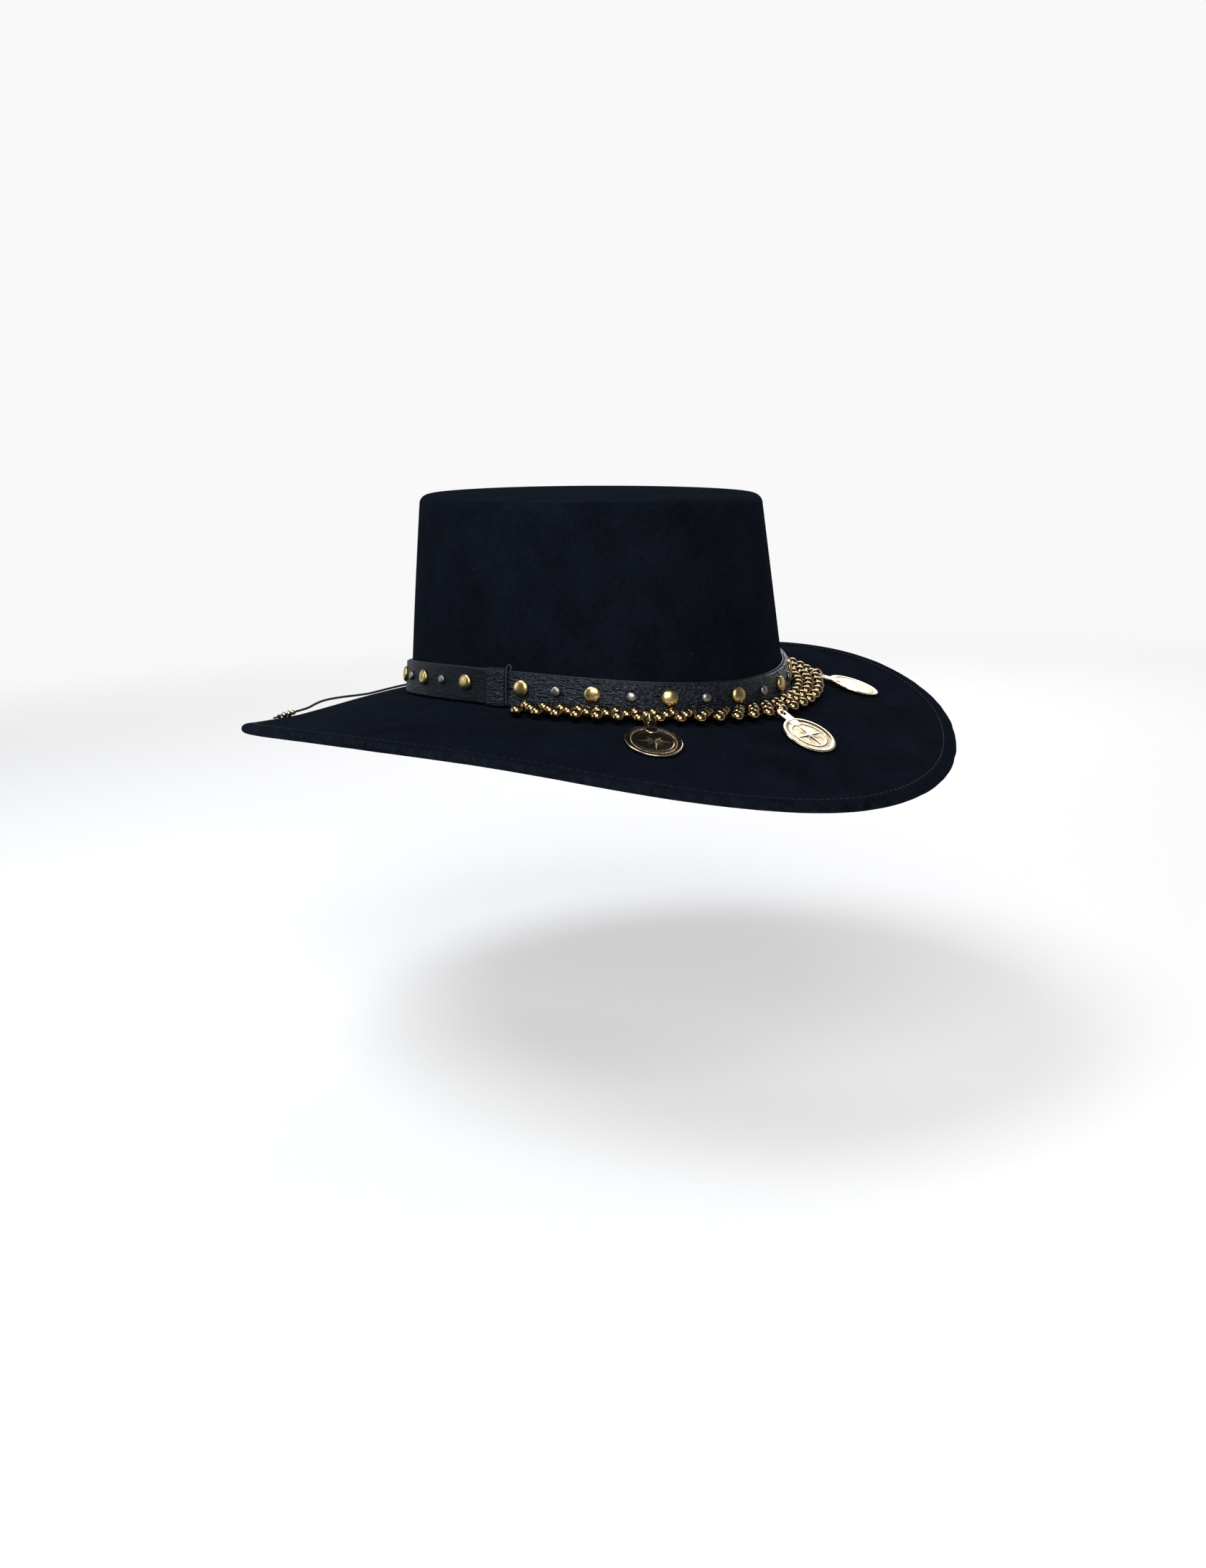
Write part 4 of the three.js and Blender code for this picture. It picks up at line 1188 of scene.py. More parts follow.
def keeper_mesh(name, centre):
    """A leather loop over the band, whose top and bottom turn in towards the crown."""
    half = angle_across(KEEPER_WIDTH / 2)
    low, high = BAND_LIFT, BAND_LIFT + BAND_HEIGHT
    inside, out = BAND_OUTSIDE + CLEARANCE, KEEPER_OUTSIDE
    outer = [
        (BACKING_INSIDE + 0.2 * MM, high + 1.5 * MM),
        (out - 1.6 * MM, high + 1.5 * MM),
        (out - 0.6 * MM, high + 1.1 * MM),
        (out - 0.1 * MM, high + 0.1 * MM),
        (out, high - 1.5 * MM),
        (out, (low + high) / 2),
        (out, low + 1.2 * MM),
        (out - 0.3 * MM, low),
        (out - 1.2 * MM, low - 0.45 * MM),
        (BACKING_OUTSIDE + 0.6 * MM, low - 0.5 * MM),
    ]
    inner = [
        (BACKING_OUTSIDE + 0.6 * MM, low - 0.15 * MM),
        (inside, low - 0.12 * MM),
        (inside, high + 0.6 * MM),
        (BACKING_INSIDE + 0.2 * MM, high + 0.6 * MM),
    ]
    section = subdivided(outer + inner, 0.9 * MM)
    out_shift = 0.25 * MM

    def crumple(angle, up):
        share = (angle - centre) / half
        edge = -0.55 * MM * abs(share) ** 6
        folds = np.sin(up * 1900 + 3 * share) * 0.5 + np.sin(up * 3100 - 5 * share + 1) * 0.35
        return edge + out_shift * (folds - 0.9) * (1 - 0.4 * abs(share))

    return wall_strip(name, centre - half, centre + half, section, 0.55 * MM, crumple)


def tie_mesh(name, side):
    """A thin two-ply cord up the band beside the keeper, with a small loop above the band."""
    half = angle_across(KEEPER_WIDTH / 2 + TIE_DIAMETER / 2 + TIE_GAP)
    outside = BAND_OUTSIDE + CLEARANCE + TIE_DIAMETER / 2
    at = wall_frame(side * (KEEPER_ANGLE - half), BAND_LIFT, outside)
    top = BAND_HEIGHT + BACKING_SHOW
    loop = 3.2 * MM
    route = [
        (0, 0.6 * MM, 0),
        (0.05 * MM, top * 0.3, 0),
        (-0.1 * MM, top * 0.7, 0),
        (0, top, 0),
        (0.4 * MM, top + loop * 0.75, -0.3 * MM),
        (1.6 * MM, top + loop, -0.4 * MM),
        (2.6 * MM, top + loop * 0.6, -0.3 * MM),
        (2.6 * MM, top + 0.9 * MM, 0),
    ]
    path = [at @ Vector(p) for p in smooth_path(route, 90)]
    return sweep(name, path, TIE_DIAMETER / 2, 14, 2, 2600)


# ------------------------------------------------------------------ bead strap
def bead_bearings():
    """Angles half a bead's pitch apart along the middle row, from one end to the other."""
    fine = np.radians(np.arange(-BEAD_END, BEAD_END + 0.25, 0.25))
    row = above_brim(fine, BEAD_ROWS[1], CLEARANCE + BEAD_DIAMETER / 2)
    lengths = lengths_along(row)
    found = [fine[0]]
    for angle, length in zip(fine[1:], lengths[1:]):
        if length >= len(found) * BEAD_PITCH / 2:
            found.append(angle)
    return np.array(found)


def bead_row_path(row):
    """Points at the beads of a row and in the gaps between them, with a mark of 1 at a bead."""
    half_pitches = bead_bearings()
    own = half_pitches[row % 2 :: 2]
    angles, marks = [], []
    for i, angle in enumerate(own):
        angles.append(angle)
        marks.append(1.0)
        if i + 1 < len(own):
            angles.append((angle + own[i + 1]) / 2)
            marks.append(0.0)
    height = CLEARANCE + BEAD_DIAMETER / 2
    return above_brim(np.array(angles), BEAD_ROWS[row], height), marks


# ------------------------------------------------------------------ medallions
def coin_frame(name, joint):
    """Where a medallion lies: its slot's middle, and axes x to the disc and z up out of it."""
    points = node_points(name)
    pivot = np.array(joint["pos_m"])
    thing = frame["nodes"][name].data
    total = np.zeros(3)
    for polygon in thing.polygons:
        normal = np.array(polygon.normal)
        if polygon.area > 1e-6 and normal[2] < -0.6:
            total -= normal * polygon.area
    up = unit(total)
    ahead = points.mean(axis=0) - pivot
    ahead = unit(ahead - up * np.dot(ahead, up))
    return Vector(pivot), Matrix(np.stack([ahead, np.cross(up, ahead), up], axis=1))


def star_relief(x, y):
    """Height, from 0 to 1, of a compass star with four long arms and four short ones."""
    best = np.zeros_like(x)
    for k in range(8):
        reach = 7.6 * MM if k % 2 == 0 else 4.6 * MM
        width = 1.9 * MM if k % 2 == 0 else 1.5 * MM
        turn = k * TURN / 8
        out = x * math.cos(turn) + y * math.sin(turn)
        aside = np.abs(-x * math.sin(turn) + y * math.cos(turn))
        room = width * (1 - np.clip(out, 0, reach) / reach)
        height = np.where((out > 0) & (room > 1e-6), 1 - aside / np.maximum(room, 1e-6), 0)
        best = np.maximum(best, np.clip(height, 0, 1) * (0.45 + 0.55 * (1 - out / reach)))
    return np.clip(best, 0, 1)


def coin_mesh(name, pivot, axes):
    """The disc: a turned rim, a field with a compass star, and a plain back."""
    sides, half = 128, COIN_HALF
    turns = np.arange(sides) / sides * TURN
    rows = [(r, COIN_FIELD) for r in np.linspace(0.5, 10.6, 32) * MM]
    inside_rim = len(rows)
    rows += [(10.9 * MM, 0.36 * MM), (11.2 * MM, 0.50 * MM), (11.5 * MM, 0.61 * MM)]
    rows += [(11.9 * MM, half), (12.5 * MM, half), (12.8 * MM, 0.59 * MM)]
    rows += [(COIN_RADIUS, 0.42 * MM), (COIN_RADIUS, -0.45 * MM), (12.85 * MM, -0.60 * MM)]
    rows += [(12.6 * MM, -half), (9 * MM, -half), (4 * MM, -half), (0.5 * MM, -half)]
    rings, raised = [], []
    place = Matrix.Translation(pivot) @ axes.to_4x4()
    for i, (r, z) in enumerate(rows):
        x, y = r * np.cos(turns), r * np.sin(turns)
        lift = np.zeros(sides)
        if i < inside_rim:
            lift = 0.34 * MM * star_relief(x, y)
            circle = math.exp(-(((r - 8.6 * MM) / (0.28 * MM)) ** 2))
            lift = np.maximum(lift, 0.2 * MM * circle)
        ring = [place @ Vector((COIN_CENTRE + a, b, z + c)) for a, b, c in zip(x, y, lift)]
        rings.append(ring)
        raised += list(np.clip((z + lift - COIN_FIELD) / (COIN_HALF - COIN_FIELD), 0, 1))
    count = len(rows)
    mesh = loft(name, rings, np.arange(count) * MM, np.arange(sides + 1) * MM)
    layer = mesh.attributes.new("raised", "FLOAT", "POINT")
    layer.data.foreach_set("value", raised + [0.3, 0.0])
    return mesh


def tab_mesh(name, pivot, axes):
    """The tab: a flat bar with a long hole for the ring, which runs on to the coin's field."""
    curve = bpy.data.curves.new(name, "CURVE")
    curve.dimensions = "2D"
    curve.fill_mode = "BOTH"
    curve.extrude = 0.45 * MM
    curve.bevel_depth = 0.14 * MM
    curve.bevel_resolution = 2
    width = TAB_WIDTH - 2 * curve.bevel_depth
    near, far = -SLOT_HALF - TAB_EDGE + curve.bevel_depth, 10.4 * MM

    def outline(start, end, wide):
        r = wide / 2
        turns = np.linspace(math.pi / 2, 1.5 * math.pi, 13)
        left = [(start + r + r * math.cos(t), r * math.sin(t)) for t in turns]
        right = [(end - r - r * math.cos(t), -r * math.sin(t)) for t in turns]
        return left + right

    hole = SLOT_HALF + curve.bevel_depth
    slot = outline(-hole, hole, SLOT_WIDTH + 2 * curve.bevel_depth)
    for line in (outline(near, far, width), slot):
        spline = curve.splines.new("POLY")
        spline.points.add(len(line) - 1)
        for point, (x, y) in zip(spline.points, line):
            point.co = (x, y, 0, 1)
        spline.use_cyclic_u = True
    flat = add_object(f"{name}_flat", curve)
    graph = bpy.context.evaluated_depsgraph_get()
    mesh = bpy.data.meshes.new_from_object(flat.evaluated_get(graph))
    bpy.data.objects.remove(flat)
    mesh.transform(Matrix.Translation(pivot) @ axes.to_4x4())
    layer = mesh.attributes.new("raised", "FLOAT", "POINT")
    layer.data.foreach_set("value", [0.8] * len(mesh.vertices))
    return mesh


def ring_mesh(name, node):
    """A jump ring of round wire, cut and closed, where its CAD node is."""
    points = node_points(node)
    centre = points.mean(axis=0)
    _, _, rows = np.linalg.svd(points - centre)
    normal = rows[2]
    start = unit(np.cross(normal, (0.2, 0.1, 1.0)))
    other = np.cross(normal, start)
    cut = math.radians(2.2)
    turns = np.linspace(cut, TURN - cut, 64)
    circle = np.outer(np.cos(turns), start) + np.outer(np.sin(turns), other)
    return sweep(name, centre + RING_RADIUS * circle, RING_WIRE, 16)


# ------------------------------------------------------------------ lace
def lace_direction():
    return unit(np.subtract(LACE_ROUTE[-1], LACE_ROUTE[-2]))


def knot_mesh():
    """An overhand knot at the lace's end with a short tail."""
    end = np.array(LACE_ROUTE[-1])
    ahead = lace_direction()
    side = unit(np.cross(ahead, (0, 0, 1)))
    up = np.cross(side, ahead)
    spread, bulk, thick = 0.28 * MM, 0.45 * MM, 0.5 * MM
    t = np.linspace(0, TURN, 97)
    x = (np.sin(t) + 2 * np.sin(2 * t)) * spread
    y = (np.cos(t) - 2 * np.cos(2 * t)) * spread
    z = -np.sin(3 * t) * bulk
    centre = end + ahead * 1.75 * MM
    path = centre + np.outer(z, side) + np.outer(x, ahead) + np.outer(y, up)
    loop = sweep("lace_knot_turns", path, thick, 12)
    tail_points = [end + ahead * 2.2 * MM, end + ahead * 3.6 * MM - up * 0.1 * MM]
    tail_points.append(end + ahead * 5.2 * MM + side * 0.4 * MM)
    tail = sweep("lace_tail", smooth_path(tail_points, 14), thick, 10)
    return joined("lace_end_knot", [loop, tail])


def lace_bead_mesh(name, node):
    """A small rounded bead with a hole for the lace, where its CAD node is."""
    points = node_points(node)
    centre = points.mean(axis=0)
    ahead = lace_direction()
    along = (points - centre) @ ahead
    half = (along.max() - along.min()) / 2
    middle = centre + ahead * (along.max() + along.min()) / 2
    from_middle = points - middle
    aside = from_middle - np.outer(from_middle @ ahead, ahead)
    radius = np.linalg.norm(aside, axis=1).max()
    bore = 0.85 * MM
    section = []
    for t in np.linspace(-90, 90, 13):
        turn = math.radians(t)
        section.append((bore + (radius - bore) * math.cos(turn) ** 0.7, half * math.sin(turn)))
    section += [(bore, half * s) for s in (0.6, 0.2, -0.2, -0.6)]
    side = unit(np.cross(ahead, (0, 0, 1)))
    up = np.cross(side, ahead)
    sides = 28
    rings = []
    for t in np.arange(sides) / sides * TURN:
        out = side * math.cos(t) + up * math.sin(t)
        rings.append([middle + out * r + ahead * h for r, h in section])
    across = np.arange(len(section) + 1) * 0.2 * MM
    return loft(name, rings, np.arange(sides + 1) * 0.3 * MM, across, closed=True)


# ------------------------------------------------------------------ settings
class HatMaterials(bpy.types.PropertyGroup):
    """Colours and finishes of the hat."""

    felt_colour: bpy.props.FloatVectorProperty(
        name="Felt",
        description="Colour of the wool felt",
        subtype="COLOR",
        default=(0.0047, 0.0062, 0.0102),
    )
    felt_sheen: bpy.props.FloatProperty(
        name="Felt sheen",
        description="Soft light at grazing angles",
        default=0.012,
        min=0,
        max=1,
    )
    leather_colour: bpy.props.FloatVectorProperty(
        name="Leather",
        description="Colour of the hatband",
        subtype="COLOR",
        default=(0.0030, 0.0040, 0.0065),
    )
    lining_colour: bpy.props.FloatVectorProperty(
        name="Lining",
        description="Colour of the satin lining",
        subtype="COLOR",
        default=(0.010, 0.010, 0.014),
    )
    brass_colour: bpy.props.FloatVectorProperty(
        name="Brass",
        description="Colour of the large studs",
        subtype="COLOR",
        default=(0.84, 0.65, 0.30),
    )
    gunmetal_colour: bpy.props.FloatVectorProperty(
        name="Gunmetal",
        description="Colour of the small studs",
        subtype="COLOR",
        default=(0.42, 0.41, 0.40),
    )
    bead_colour: bpy.props.FloatVectorProperty(
        name="Beads",
        description="Colour of the strap's beads",
        subtype="COLOR",
        default=(0.36, 0.25, 0.125),
    )
    coin_colour: bpy.props.FloatVectorProperty(
        name="Medallions",
        description="Colour of the medallions",
        subtype="COLOR",
        default=(0.88, 0.72, 0.50),
    )


class HatSewing(bpy.types.PropertyGroup):
    """Sizes of the stitches."""

    stitch_pitch: bpy.props.FloatProperty(
        name="Stitch pitch",
        description="From one stitch to the next",
        default=3.6 * MM,
        unit="LENGTH",
    )
    stitch_length: bpy.props.FloatProperty(
        name="Stitch length",
        description="Length of a stitch",
        default=2.7 * MM,
        unit="LENGTH",
    )
    stitch_inset: bpy.props.FloatProperty(
        name="Stitch inset",
        description="From the brim's edge to its stitches",
        default=6.1 * MM,
        unit="LENGTH",
    )
    thread_radius: bpy.props.FloatProperty(
        name="Thread radius",
        description="Half the thread's thickness",
        default=0.22 * MM,
        unit="LENGTH",
    )


class HatStage(bpy.types.PropertyGroup):
    """The floor, the lights and the camera."""

    floor_height: bpy.props.FloatProperty(
        name="Floor",
        description="Height of the floor",
        default=-0.2,
        unit="LENGTH",
    )
    floor_colour: bpy.props.FloatVectorProperty(
        name="Floor colour",
        description="Colour of the floor",
        subtype="COLOR",
        default=(0.88, 0.88, 0.88),
    )
    floor_glow: bpy.props.FloatProperty(
        name="Floor glow",
        description="How much the floor shines, as a lit table does",
        default=0.2,
        min=0,
        max=1,
    )
    floor_fade: bpy.props.FloatVectorProperty(
        name="Floor fade",
        description="Radii between which the floor fades out",
        size=2,
        default=(0.8, 1.9),
    )
    backdrop: bpy.props.FloatProperty(
        name="Backdrop",
        description="Brightness of the backdrop",
        default=0.945,
        min=0,
        max=2,
    )
    sky_dark: bpy.props.FloatVectorProperty(
        name="Sky",
        description="Colour of the studio's dark side",
        subtype="COLOR",
        default=(0.075, 0.08, 0.092),
    )
    sky_bright: bpy.props.FloatVectorProperty(
        name="Backdrop glow",
        description="Colour of its bright side",
        subtype="COLOR",
        default=(0.58, 0.60, 0.64),
    )
    camera_place: bpy.props.FloatVectorProperty(
        name="Camera",
        description="Place of the camera",
        subtype="TRANSLATION",
        default=(-0.57098, -0.53246, 0.12323),
    )
    camera_heading: bpy.props.FloatProperty(
        name="Heading",
        description="Camera's turn about Z",
        subtype="ANGLE",
        default=math.radians(-47.186),
    )
    camera_tilt: bpy.props.FloatProperty(
        name="Tilt",
        description="How far the camera looks down",
        subtype="ANGLE",
        default=math.radians(12.702),
    )
    camera_roll: bpy.props.FloatProperty(
        name="Roll",
        description="Camera's turn about its own axis",
        subtype="ANGLE",
        default=math.radians(-2.269),
    )
    camera_lens: bpy.props.FloatProperty(
        name="Lens",
        description="Focal length on a 36 mm sensor",
        default=34.43,
        min=10,
        max=200,
    )


# ------------------------------------------------------------------ operators
class HAT_OT_camera(bpy.types.Operator):
    """Makes the camera"""

    bl_idname = "hat.camera"
    bl_label = "Camera"

    def execute(self, context):
        stage = context.scene.hat_stage
        heading, tilt = stage.camera_heading, stage.camera_tilt
        level = Vector((-math.sin(heading), math.cos(heading), 0))
        ahead = level * math.cos(tilt) - Vector((0, 0, math.sin(tilt)))
        right = Vector((math.cos(heading), math.sin(heading), 0))
        up = right.cross(ahead)
        axes = Matrix((right, up, -ahead)).transposed()
        roll = Matrix.Rotation(stage.camera_roll, 3, "Z")
        data = bpy.data.cameras.new("camera")
        data.lens = stage.camera_lens
        data.sensor_width = 36
        data.clip_start, data.clip_end = 0.01, 50
        camera = bpy.data.objects.new("camera", data)
        context.scene.collection.objects.link(camera)
        camera.matrix_world = Matrix.Translation(stage.camera_place) @ (axes @ roll).to_4x4()
        context.scene.camera = camera
        return {"FINISHED"}


class HAT_OT_lace(bpy.types.Operator):
    """Makes the lace at the back, its end knot and the beads that slide on it"""

    bl_idname = "hat.lace"
    bl_label = "Lace and beads"

    def execute(self, context):
        cord = thread_look("waxed_lace", (0.006, 0.0065, 0.009), 1.1 * MM, 0.34)
        path = smooth_path(LACE_ROUTE, 72)
        tube = sweep("back_lace", path, LACE_DIAMETER / 2, 12)
        lace = piece("back_lace", tube, cord, nodes=["lace"])
        knot = piece("lace_end_knot", knot_mesh(), cord, nodes=["lace_knot"])
        bright, dull = (0.95, 0.83, 0.62), (0.7, 0.52, 0.3)
        shiny = metal_look("lace_bead_gold", bright, dull, 0.14, 1.4 * MM, 0.6)
        for node in nodes_named("lace_bead_"):
            mesh = lace_bead_mesh(f"{node}_ring", node)
            piece(f"{node}_ring", mesh, shiny, "lace_beads", [node])
        return {"FINISHED"}


class HAT_OT_felt(bpy.types.Operator):
    """Makes the felt crown and brim, with the stitches of the folded edge"""

    bl_idname = "hat.felt"
    bl_label = "Felt body"

    def execute(self, context):
        colours, sewing = context.scene.hat_materials, context.scene.hat_sewing
        felt = felt_look(colours, sewing)
        piece("felt_hat", felt_mesh(sewing), felt, nodes=["felt_body"])
        thread = thread_look("sewing_thread", (0.001, 0.0014, 0.0022), 0.5 * MM, 0.8)
        for name, side in (("brim_stitches_top", 1), ("brim_stitches_under", -1)):
            path = brim_stitch_path(sewing, side)
            mesh = stitch_mesh(
                name, path, thread, sewing.stitch_pitch, sewing.stitch_length, sewing.thread_radius
            )
            piece(name, mesh, thread)
        return {"FINISHED"}


class HAT_OT_inside(bpy.types.Operator):
    """Makes the satin lining, the leather sweatband, its stitches and its bow"""

    bl_idname = "hat.inside"
    bl_label = "Lining and sweatband"

    def execute(self, context):
        colours = context.scene.hat_materials
        satin = satin_look(colours)
        piece("crown_lining_satin", lining_mesh(), satin, nodes=["crown_lining"])
        black = colours.leather_colour
        leather = leather_look(
            "sweatband_leather", black, 0.7 * MM, 1.2, 0.08 * MM, 0.4, pebbled=False
        )
        piece("sweatband_leather", sweatband_mesh(), leather, nodes=["sweatband"])
        piece("sweatband_bow_ribbon", bow_mesh(), satin, nodes=["sweatband_bow"])
        angles = np.linspace(0, TURN, 260)
        inset = FELT + CLEARANCE + SWEATBAND_THICKNESS + 0.1 * MM
        path = on_wall(angles, break_height(angles) + 4.2 * MM, -inset)
        thread = thread_look("sweatband_thread", (0.02, 0.02, 0.022), 0.5 * MM, 0.5)
        mesh = stitch_mesh("sweatband_stitches", path, thread, 3.2 * MM, 2.3 * MM, 0.2 * MM)
        piece("sweatband_stitches", mesh, thread)
        return {"FINISHED"}


class HAT_OT_band(bpy.types.Operator):
    """Makes the hatband: its backing and the two studded strips"""

    bl_idname = "hat.band"
    bl_label = "Hatband"

    def execute(self, context):
        black = context.scene.hat_materials.leather_colour
        edge = leather_look(
            "backing_leather", black, 0.5 * MM, 1.4, 0.05 * MM, 0.42, pebbled=False
        )
        section = rounded_box(
            BAND_LIFT - 0.1 * MM,
            BAND_LIFT + BAND_HEIGHT + BACKING_SHOW,
            BACKING_INSIDE,
            BACKING_OUTSIDE,
            0.3 * MM,
            3,
        )
        section = subdivided(section, 3 * MM)
        mesh = wall_strip("band_backing_strip", 0, TURN, section, 2 * MM, closed=True)
        piece("band_backing_strip", mesh, edge, nodes=["band_backing"])
        front = leather_look(
            "front_strip_leather", black, 1.3 * MM, 2.6, 1.0 * MM, 0.14, turn=-0.5
        )
        rear = leather_look(
            "rear_strip_leather", black, 0.9 * MM, 1.3, 0.4 * MM, 0.36, pebbled=False, gloss=0.16
        )
        end = KEEPER_ANGLE - CLEARANCE / 2 / CROWN_HALF_LENGTH
        start = 2 * KEEPER_ANGLE - end
        strips = [
            ("front", -end, end, front, 0.14 * MM),
            ("rear", start, TURN - start, rear, 0.1 * MM),
        ]
        for word, first, last, leather, uneven in strips:
            bumpy = strip_unevenness(uneven)
            mesh = wall_strip(f"{word}_strip", first, last, band_section(), 1.1 * MM, bumpy)
            piece(f"{word}_strip", mesh, leather, nodes=[f"band_strip_{word}"])
        return {"FINISHED"}


class HAT_OT_keepers(bpy.types.Operator):
    """Makes the two leather keepers and the cords tied beside them"""

    bl_idname = "hat.keepers"
    bl_label = "Keepers and ties"

    def execute(self, context):
        black = context.scene.hat_materials.leather_colour
        leather = leather_look(
            "keeper_leather", black, 1.3 * MM, 1.8, 0.9 * MM, 0.22, turn=0.9, gloss=0.4
        )
        cord = thread_look("tie_cord", (0.0025, 0.003, 0.0045), 0.9 * MM, 0.4)
        for word, side in (("right", -1), ("left", 1)):
            mesh = keeper_mesh(f"keeper_loop_{word}", side * KEEPER_ANGLE)
            piece(f"keeper_loop_{word}", mesh, leather, nodes=[f"keeper_{word}"])
            mesh = tie_mesh(f"tie_{word}", side)
            piece(f"tie_{word}", mesh, cord, nodes=[f"tie_cord_{word}"])
        return {"FINISHED"}


class HAT_OT_studs(bpy.types.Operator):
    """Makes the large brass studs and the small gunmetal ones"""

    bl_idname = "hat.studs"
    bl_label = "Studs"

    def execute(self, context):
        colours = context.scene.hat_materials
        # rim=True paints shade on the outer slope of each stud.
        brass = metal_look(
            "stud_brass", colours.brass_colour, (0.42, 0.30, 0.12), 0.2, 2.2 * MM, rim=True
        )
        dull = metal_look(
            "stud_gunmetal", colours.gunmetal_colour, (0.16, 0.15, 0.15), 0.26, 1.8 * MM, rim=True
        )
        kinds = [
            ("brass_studs", "gold_stud_", 8 * MM, 1.7 * MM, brass, "brass"),
            ("gunmetal_studs", "small_stud_", 4.8 * MM, 1.3 * MM, dull, "gunmetal"),
        ]
        for name, start, diameter, height, metal, slot in kinds:
            nodes = nodes_named(start)
            frames = []
            for node in nodes:
                low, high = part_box(node)
                middle = (Vector(low) + Vector(high)) / 2
                bearing = math.atan2(middle.x / CROWN_HALF_WIDTH, -middle.y / CROWN_HALF_LENGTH)
                frames.append(wall_frame(bearing, STUD_UP, BAND_OUTSIDE + CLEARANCE))
            piece(name, stud_mesh(name, diameter, height, metal, frames), metal, nodes=nodes)
        return {"FINISHED"}


class HAT_OT_beads(bpy.types.Operator):
    """Makes the three rows of the bead strap"""

    bl_idname = "hat.beads"
    bl_label = "Bead strap"

    def execute(self, context):
        colours = context.scene.hat_materials
        dull = (0.16, 0.10, 0.045)
        # The thread and collars are painted nearly black, partly as painted shade between the
        # beads.
        bronze = metal_look(
            "bead_bronze", colours.bead_colour, dull, 0.03, 2.6 * MM, 0.3, dark_and_shade_part="between"
        )
        for row, word in enumerate(("inner", "middle", "outer")):
            path, marks = bead_row_path(row)
            mesh = bead_row_mesh(f"beads_{word}", path, marks, bronze)
            piece(f"beads_{word}", mesh, bronze, nodes=[f"bead_row_{word}"])
        return {"FINISHED"}


class HAT_OT_medallions(bpy.types.Operator):
    """Makes the medallions and the rings that they hang from"""

    bl_idname = "hat.medallions"
    bl_label = "Medallions"

    def execute(self, context):
        colours = context.scene.hat_materials
        gold = coin_look(colours)
        wire = metal_look("ring_gold", (0.88, 0.68, 0.38), (0.5, 0.34, 0.16), 0.16, 1.5 * MM, 0.6)
        joints = {joint["child"]: joint for joint in frame["record"]["behaviour"]["joints"]}
        for node in nodes_named("medallion_"):
            number = node[-1]
            pivot, axes = coin_frame(node, joints[node])
            disc = coin_mesh(f"{node}_disc", pivot, axes)
            piece(f"{node}_disc", disc, gold, node, [node])
            centre = pivot + axes @ Vector((COIN_CENTRE, 0, COIN_FIELD + 0.02 * MM))
            dots = dot_ring_mesh(f"{node}_dots", centre, axes, DOT_RING, 84, 0.25 * MM, gold)
            piece(f"{node}_dots", dots, gold, node)
            piece(f"{node}_tab", tab_mesh(f"{node}_tab", pivot, axes), gold, node)
            ring = f"jump_ring_{number}"
            round_wire = ring_mesh(f"{ring}_wire", ring)
            piece(f"{ring}_wire", round_wire, wire, f"ring_{number}", [ring])
        return {"FINISHED"}


LIT_PLACE = (0, 0, 0.02)
LIGHTS = [  # name, place, side of the square in metres, watts and colour
    ("key", (-0.98, -0.92, 0.86), 1.2, 18, (1.0, 0.98, 0.95)),
    ("top", (-0.75, 0.3, 1.45), 0.75, 13, (0.93, 0.96, 1.0)),
    ("rim_left", (-1.25, 1.05, 0.45), 0.9, 4, (0.88, 0.94, 1.0)),
    ("back", (1.25, 0.62, 0.95), 1.1, 13, (1.0, 0.98, 0.96)),
]


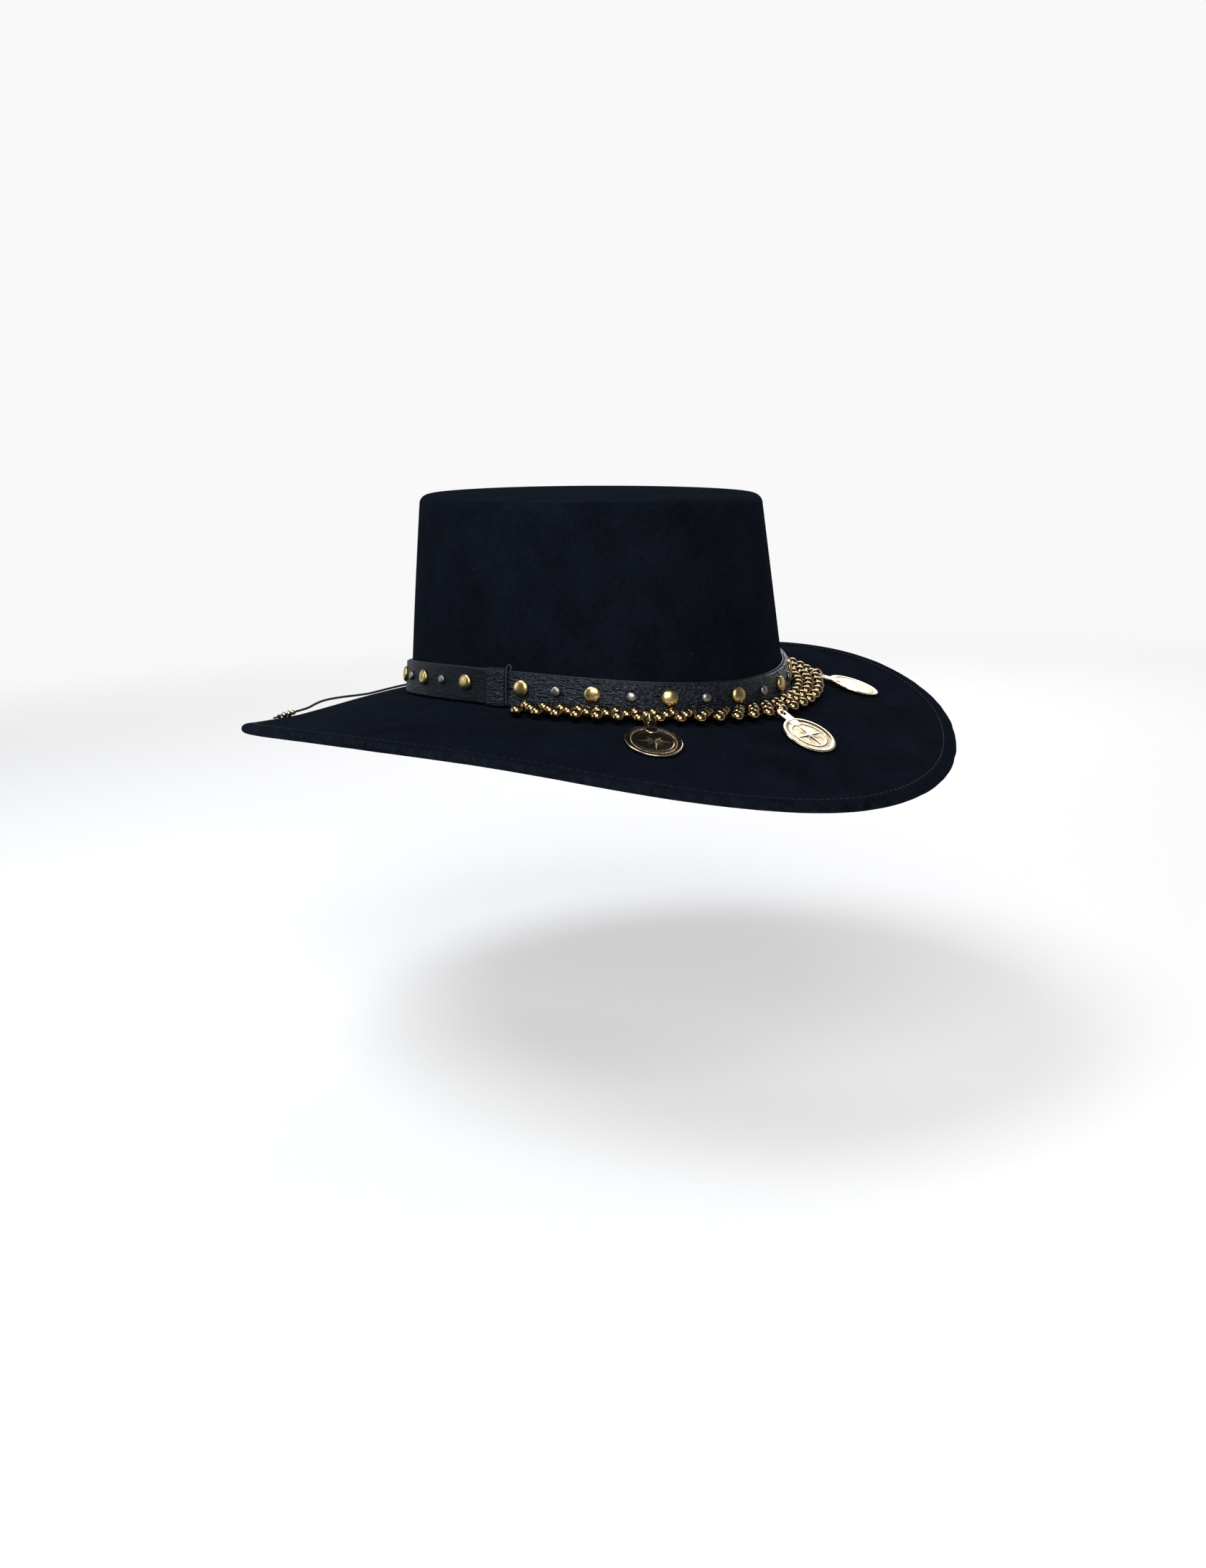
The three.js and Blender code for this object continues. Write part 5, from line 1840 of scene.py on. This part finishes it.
class HAT_OT_stage(bpy.types.Operator):
    """Makes the floor, the backdrop and the lights"""

    bl_idname = "hat.stage"
    bl_label = "Stage"

    def execute(self, context):
        stage = context.scene.hat_stage
        sides, radius = 96, 3.0
        rim = around(np.arange(sides) / sides * TURN, radius, radius)
        mesh = bpy.data.meshes.new("floor")
        mesh.from_pydata([tuple(p) for p in rim], [], [tuple(reversed(range(sides)))])
        mesh.transform(Matrix.Translation((0, 0, stage.floor_height)))
        if mesh.polygons[0].normal.z < 0:
            mesh.flip_normals()
        mesh.materials.append(floor_look(stage))
        add_object("floor", mesh)
        self.light_world(context, stage)
        for name, place, size, power, colour in LIGHTS:
            data = bpy.data.lights.new(name, "AREA")
            data.shape = "SQUARE"
            data.size = size
            data.energy = power
            data.color = colour
            lamp = bpy.data.objects.new(name, data)
            context.scene.collection.objects.link(lamp)
            lamp.visible_camera = False
            lamp.location = place
            towards = Vector(LIT_PLACE) - Vector(place)
            lamp.rotation_euler = towards.to_track_quat("-Z", "Y").to_euler()
        context.scene.view_settings.view_transform = "Standard"
        return {"FINISHED"}

    def light_world(self, context, stage):
        """A white backdrop to the camera, and a softer sky for the light on the hat."""
        world = bpy.data.worlds.new("studio")
        world.use_nodes = True
        context.scene.world = world
        tree = Tree(world.node_tree)
        out = world.node_tree.nodes["World Output"]
        world.node_tree.nodes.remove(world.node_tree.nodes["Background"])
        ray = tree.node("ShaderNodeTexCoord", output="Generated")
        height = tree.node("ShaderNodeSeparateXYZ", None, {"Vector": ray}, "Z")
        behind = {0: ray, 1: (0.73, 0.68, 0.0)}
        facing = tree.node("ShaderNodeVectorMath", {"operation": "DOT_PRODUCT"}, behind, "Value")
        low = 1 - (height - 0.1).size().between(0.15, 0.65)
        glow = facing.between(-0.35, 0.9) * low
        inputs = {"Factor": glow, "A": (*stage.sky_dark, 1), "B": (*stage.sky_bright, 1)}
        sky = tree.node("ShaderNodeMix", {"data_type": "RGBA"}, inputs)
        soft = tree.node("ShaderNodeBackground", None, {"Color": sky, "Strength": 1.0})
        white = (stage.backdrop, stage.backdrop, stage.backdrop, 1)
        plain = tree.node("ShaderNodeBackground", None, {"Color": white, "Strength": 1.0})
        seen = tree.node("ShaderNodeLightPath", output="Is Camera Ray")
        both = tree.node("ShaderNodeMixShader", None, {0: seen, 1: soft, 2: plain})
        world.node_tree.links.new(both.socket, out.inputs["Surface"])


class HAT_PT_panel(bpy.types.Panel):
    """Lists the hat's operators and settings"""

    bl_idname = "HAT_PT_panel"
    bl_label = "Pirate hat"
    bl_space_type = "VIEW_3D"
    bl_region_type = "UI"
    bl_category = "Hat"

    def draw(self, context):
        for operator in OPERATORS:
            self.layout.operator(operator.bl_idname)
        for group in ("hat_materials", "hat_sewing", "hat_stage"):
            settings = getattr(context.scene, group)
            for name in settings.__annotations__:
                self.layout.prop(settings, name)


OPERATORS = [
    HAT_OT_camera,
    HAT_OT_lace,
    HAT_OT_felt,
    HAT_OT_inside,
    HAT_OT_band,
    HAT_OT_keepers,
    HAT_OT_studs,
    HAT_OT_beads,
    HAT_OT_medallions,
    HAT_OT_stage,
]
CLASSES = [HatMaterials, HatSewing, HatStage, *OPERATORS, HAT_PT_panel]


def register():
    for cls in CLASSES:
        bpy.utils.register_class(cls)
    bpy.types.Scene.hat_materials = bpy.props.PointerProperty(type=HatMaterials)
    bpy.types.Scene.hat_sewing = bpy.props.PointerProperty(type=HatSewing)
    bpy.types.Scene.hat_stage = bpy.props.PointerProperty(type=HatStage)


def unregister():
    for name in ("hat_materials", "hat_sewing", "hat_stage"):
        delattr(bpy.types.Scene, name)
    for cls in reversed(CLASSES):
        bpy.utils.unregister_class(cls)


def main():
    register()
    bpy.ops.hat.camera()
    bpy.ops.hat.lace()
    bpy.ops.hat.felt()
    bpy.ops.hat.inside()
    bpy.ops.hat.band()
    bpy.ops.hat.keepers()
    bpy.ops.hat.studs()
    bpy.ops.hat.beads()
    bpy.ops.hat.medallions()
    bpy.ops.hat.stage()


if __name__ == "__main__":
    main()
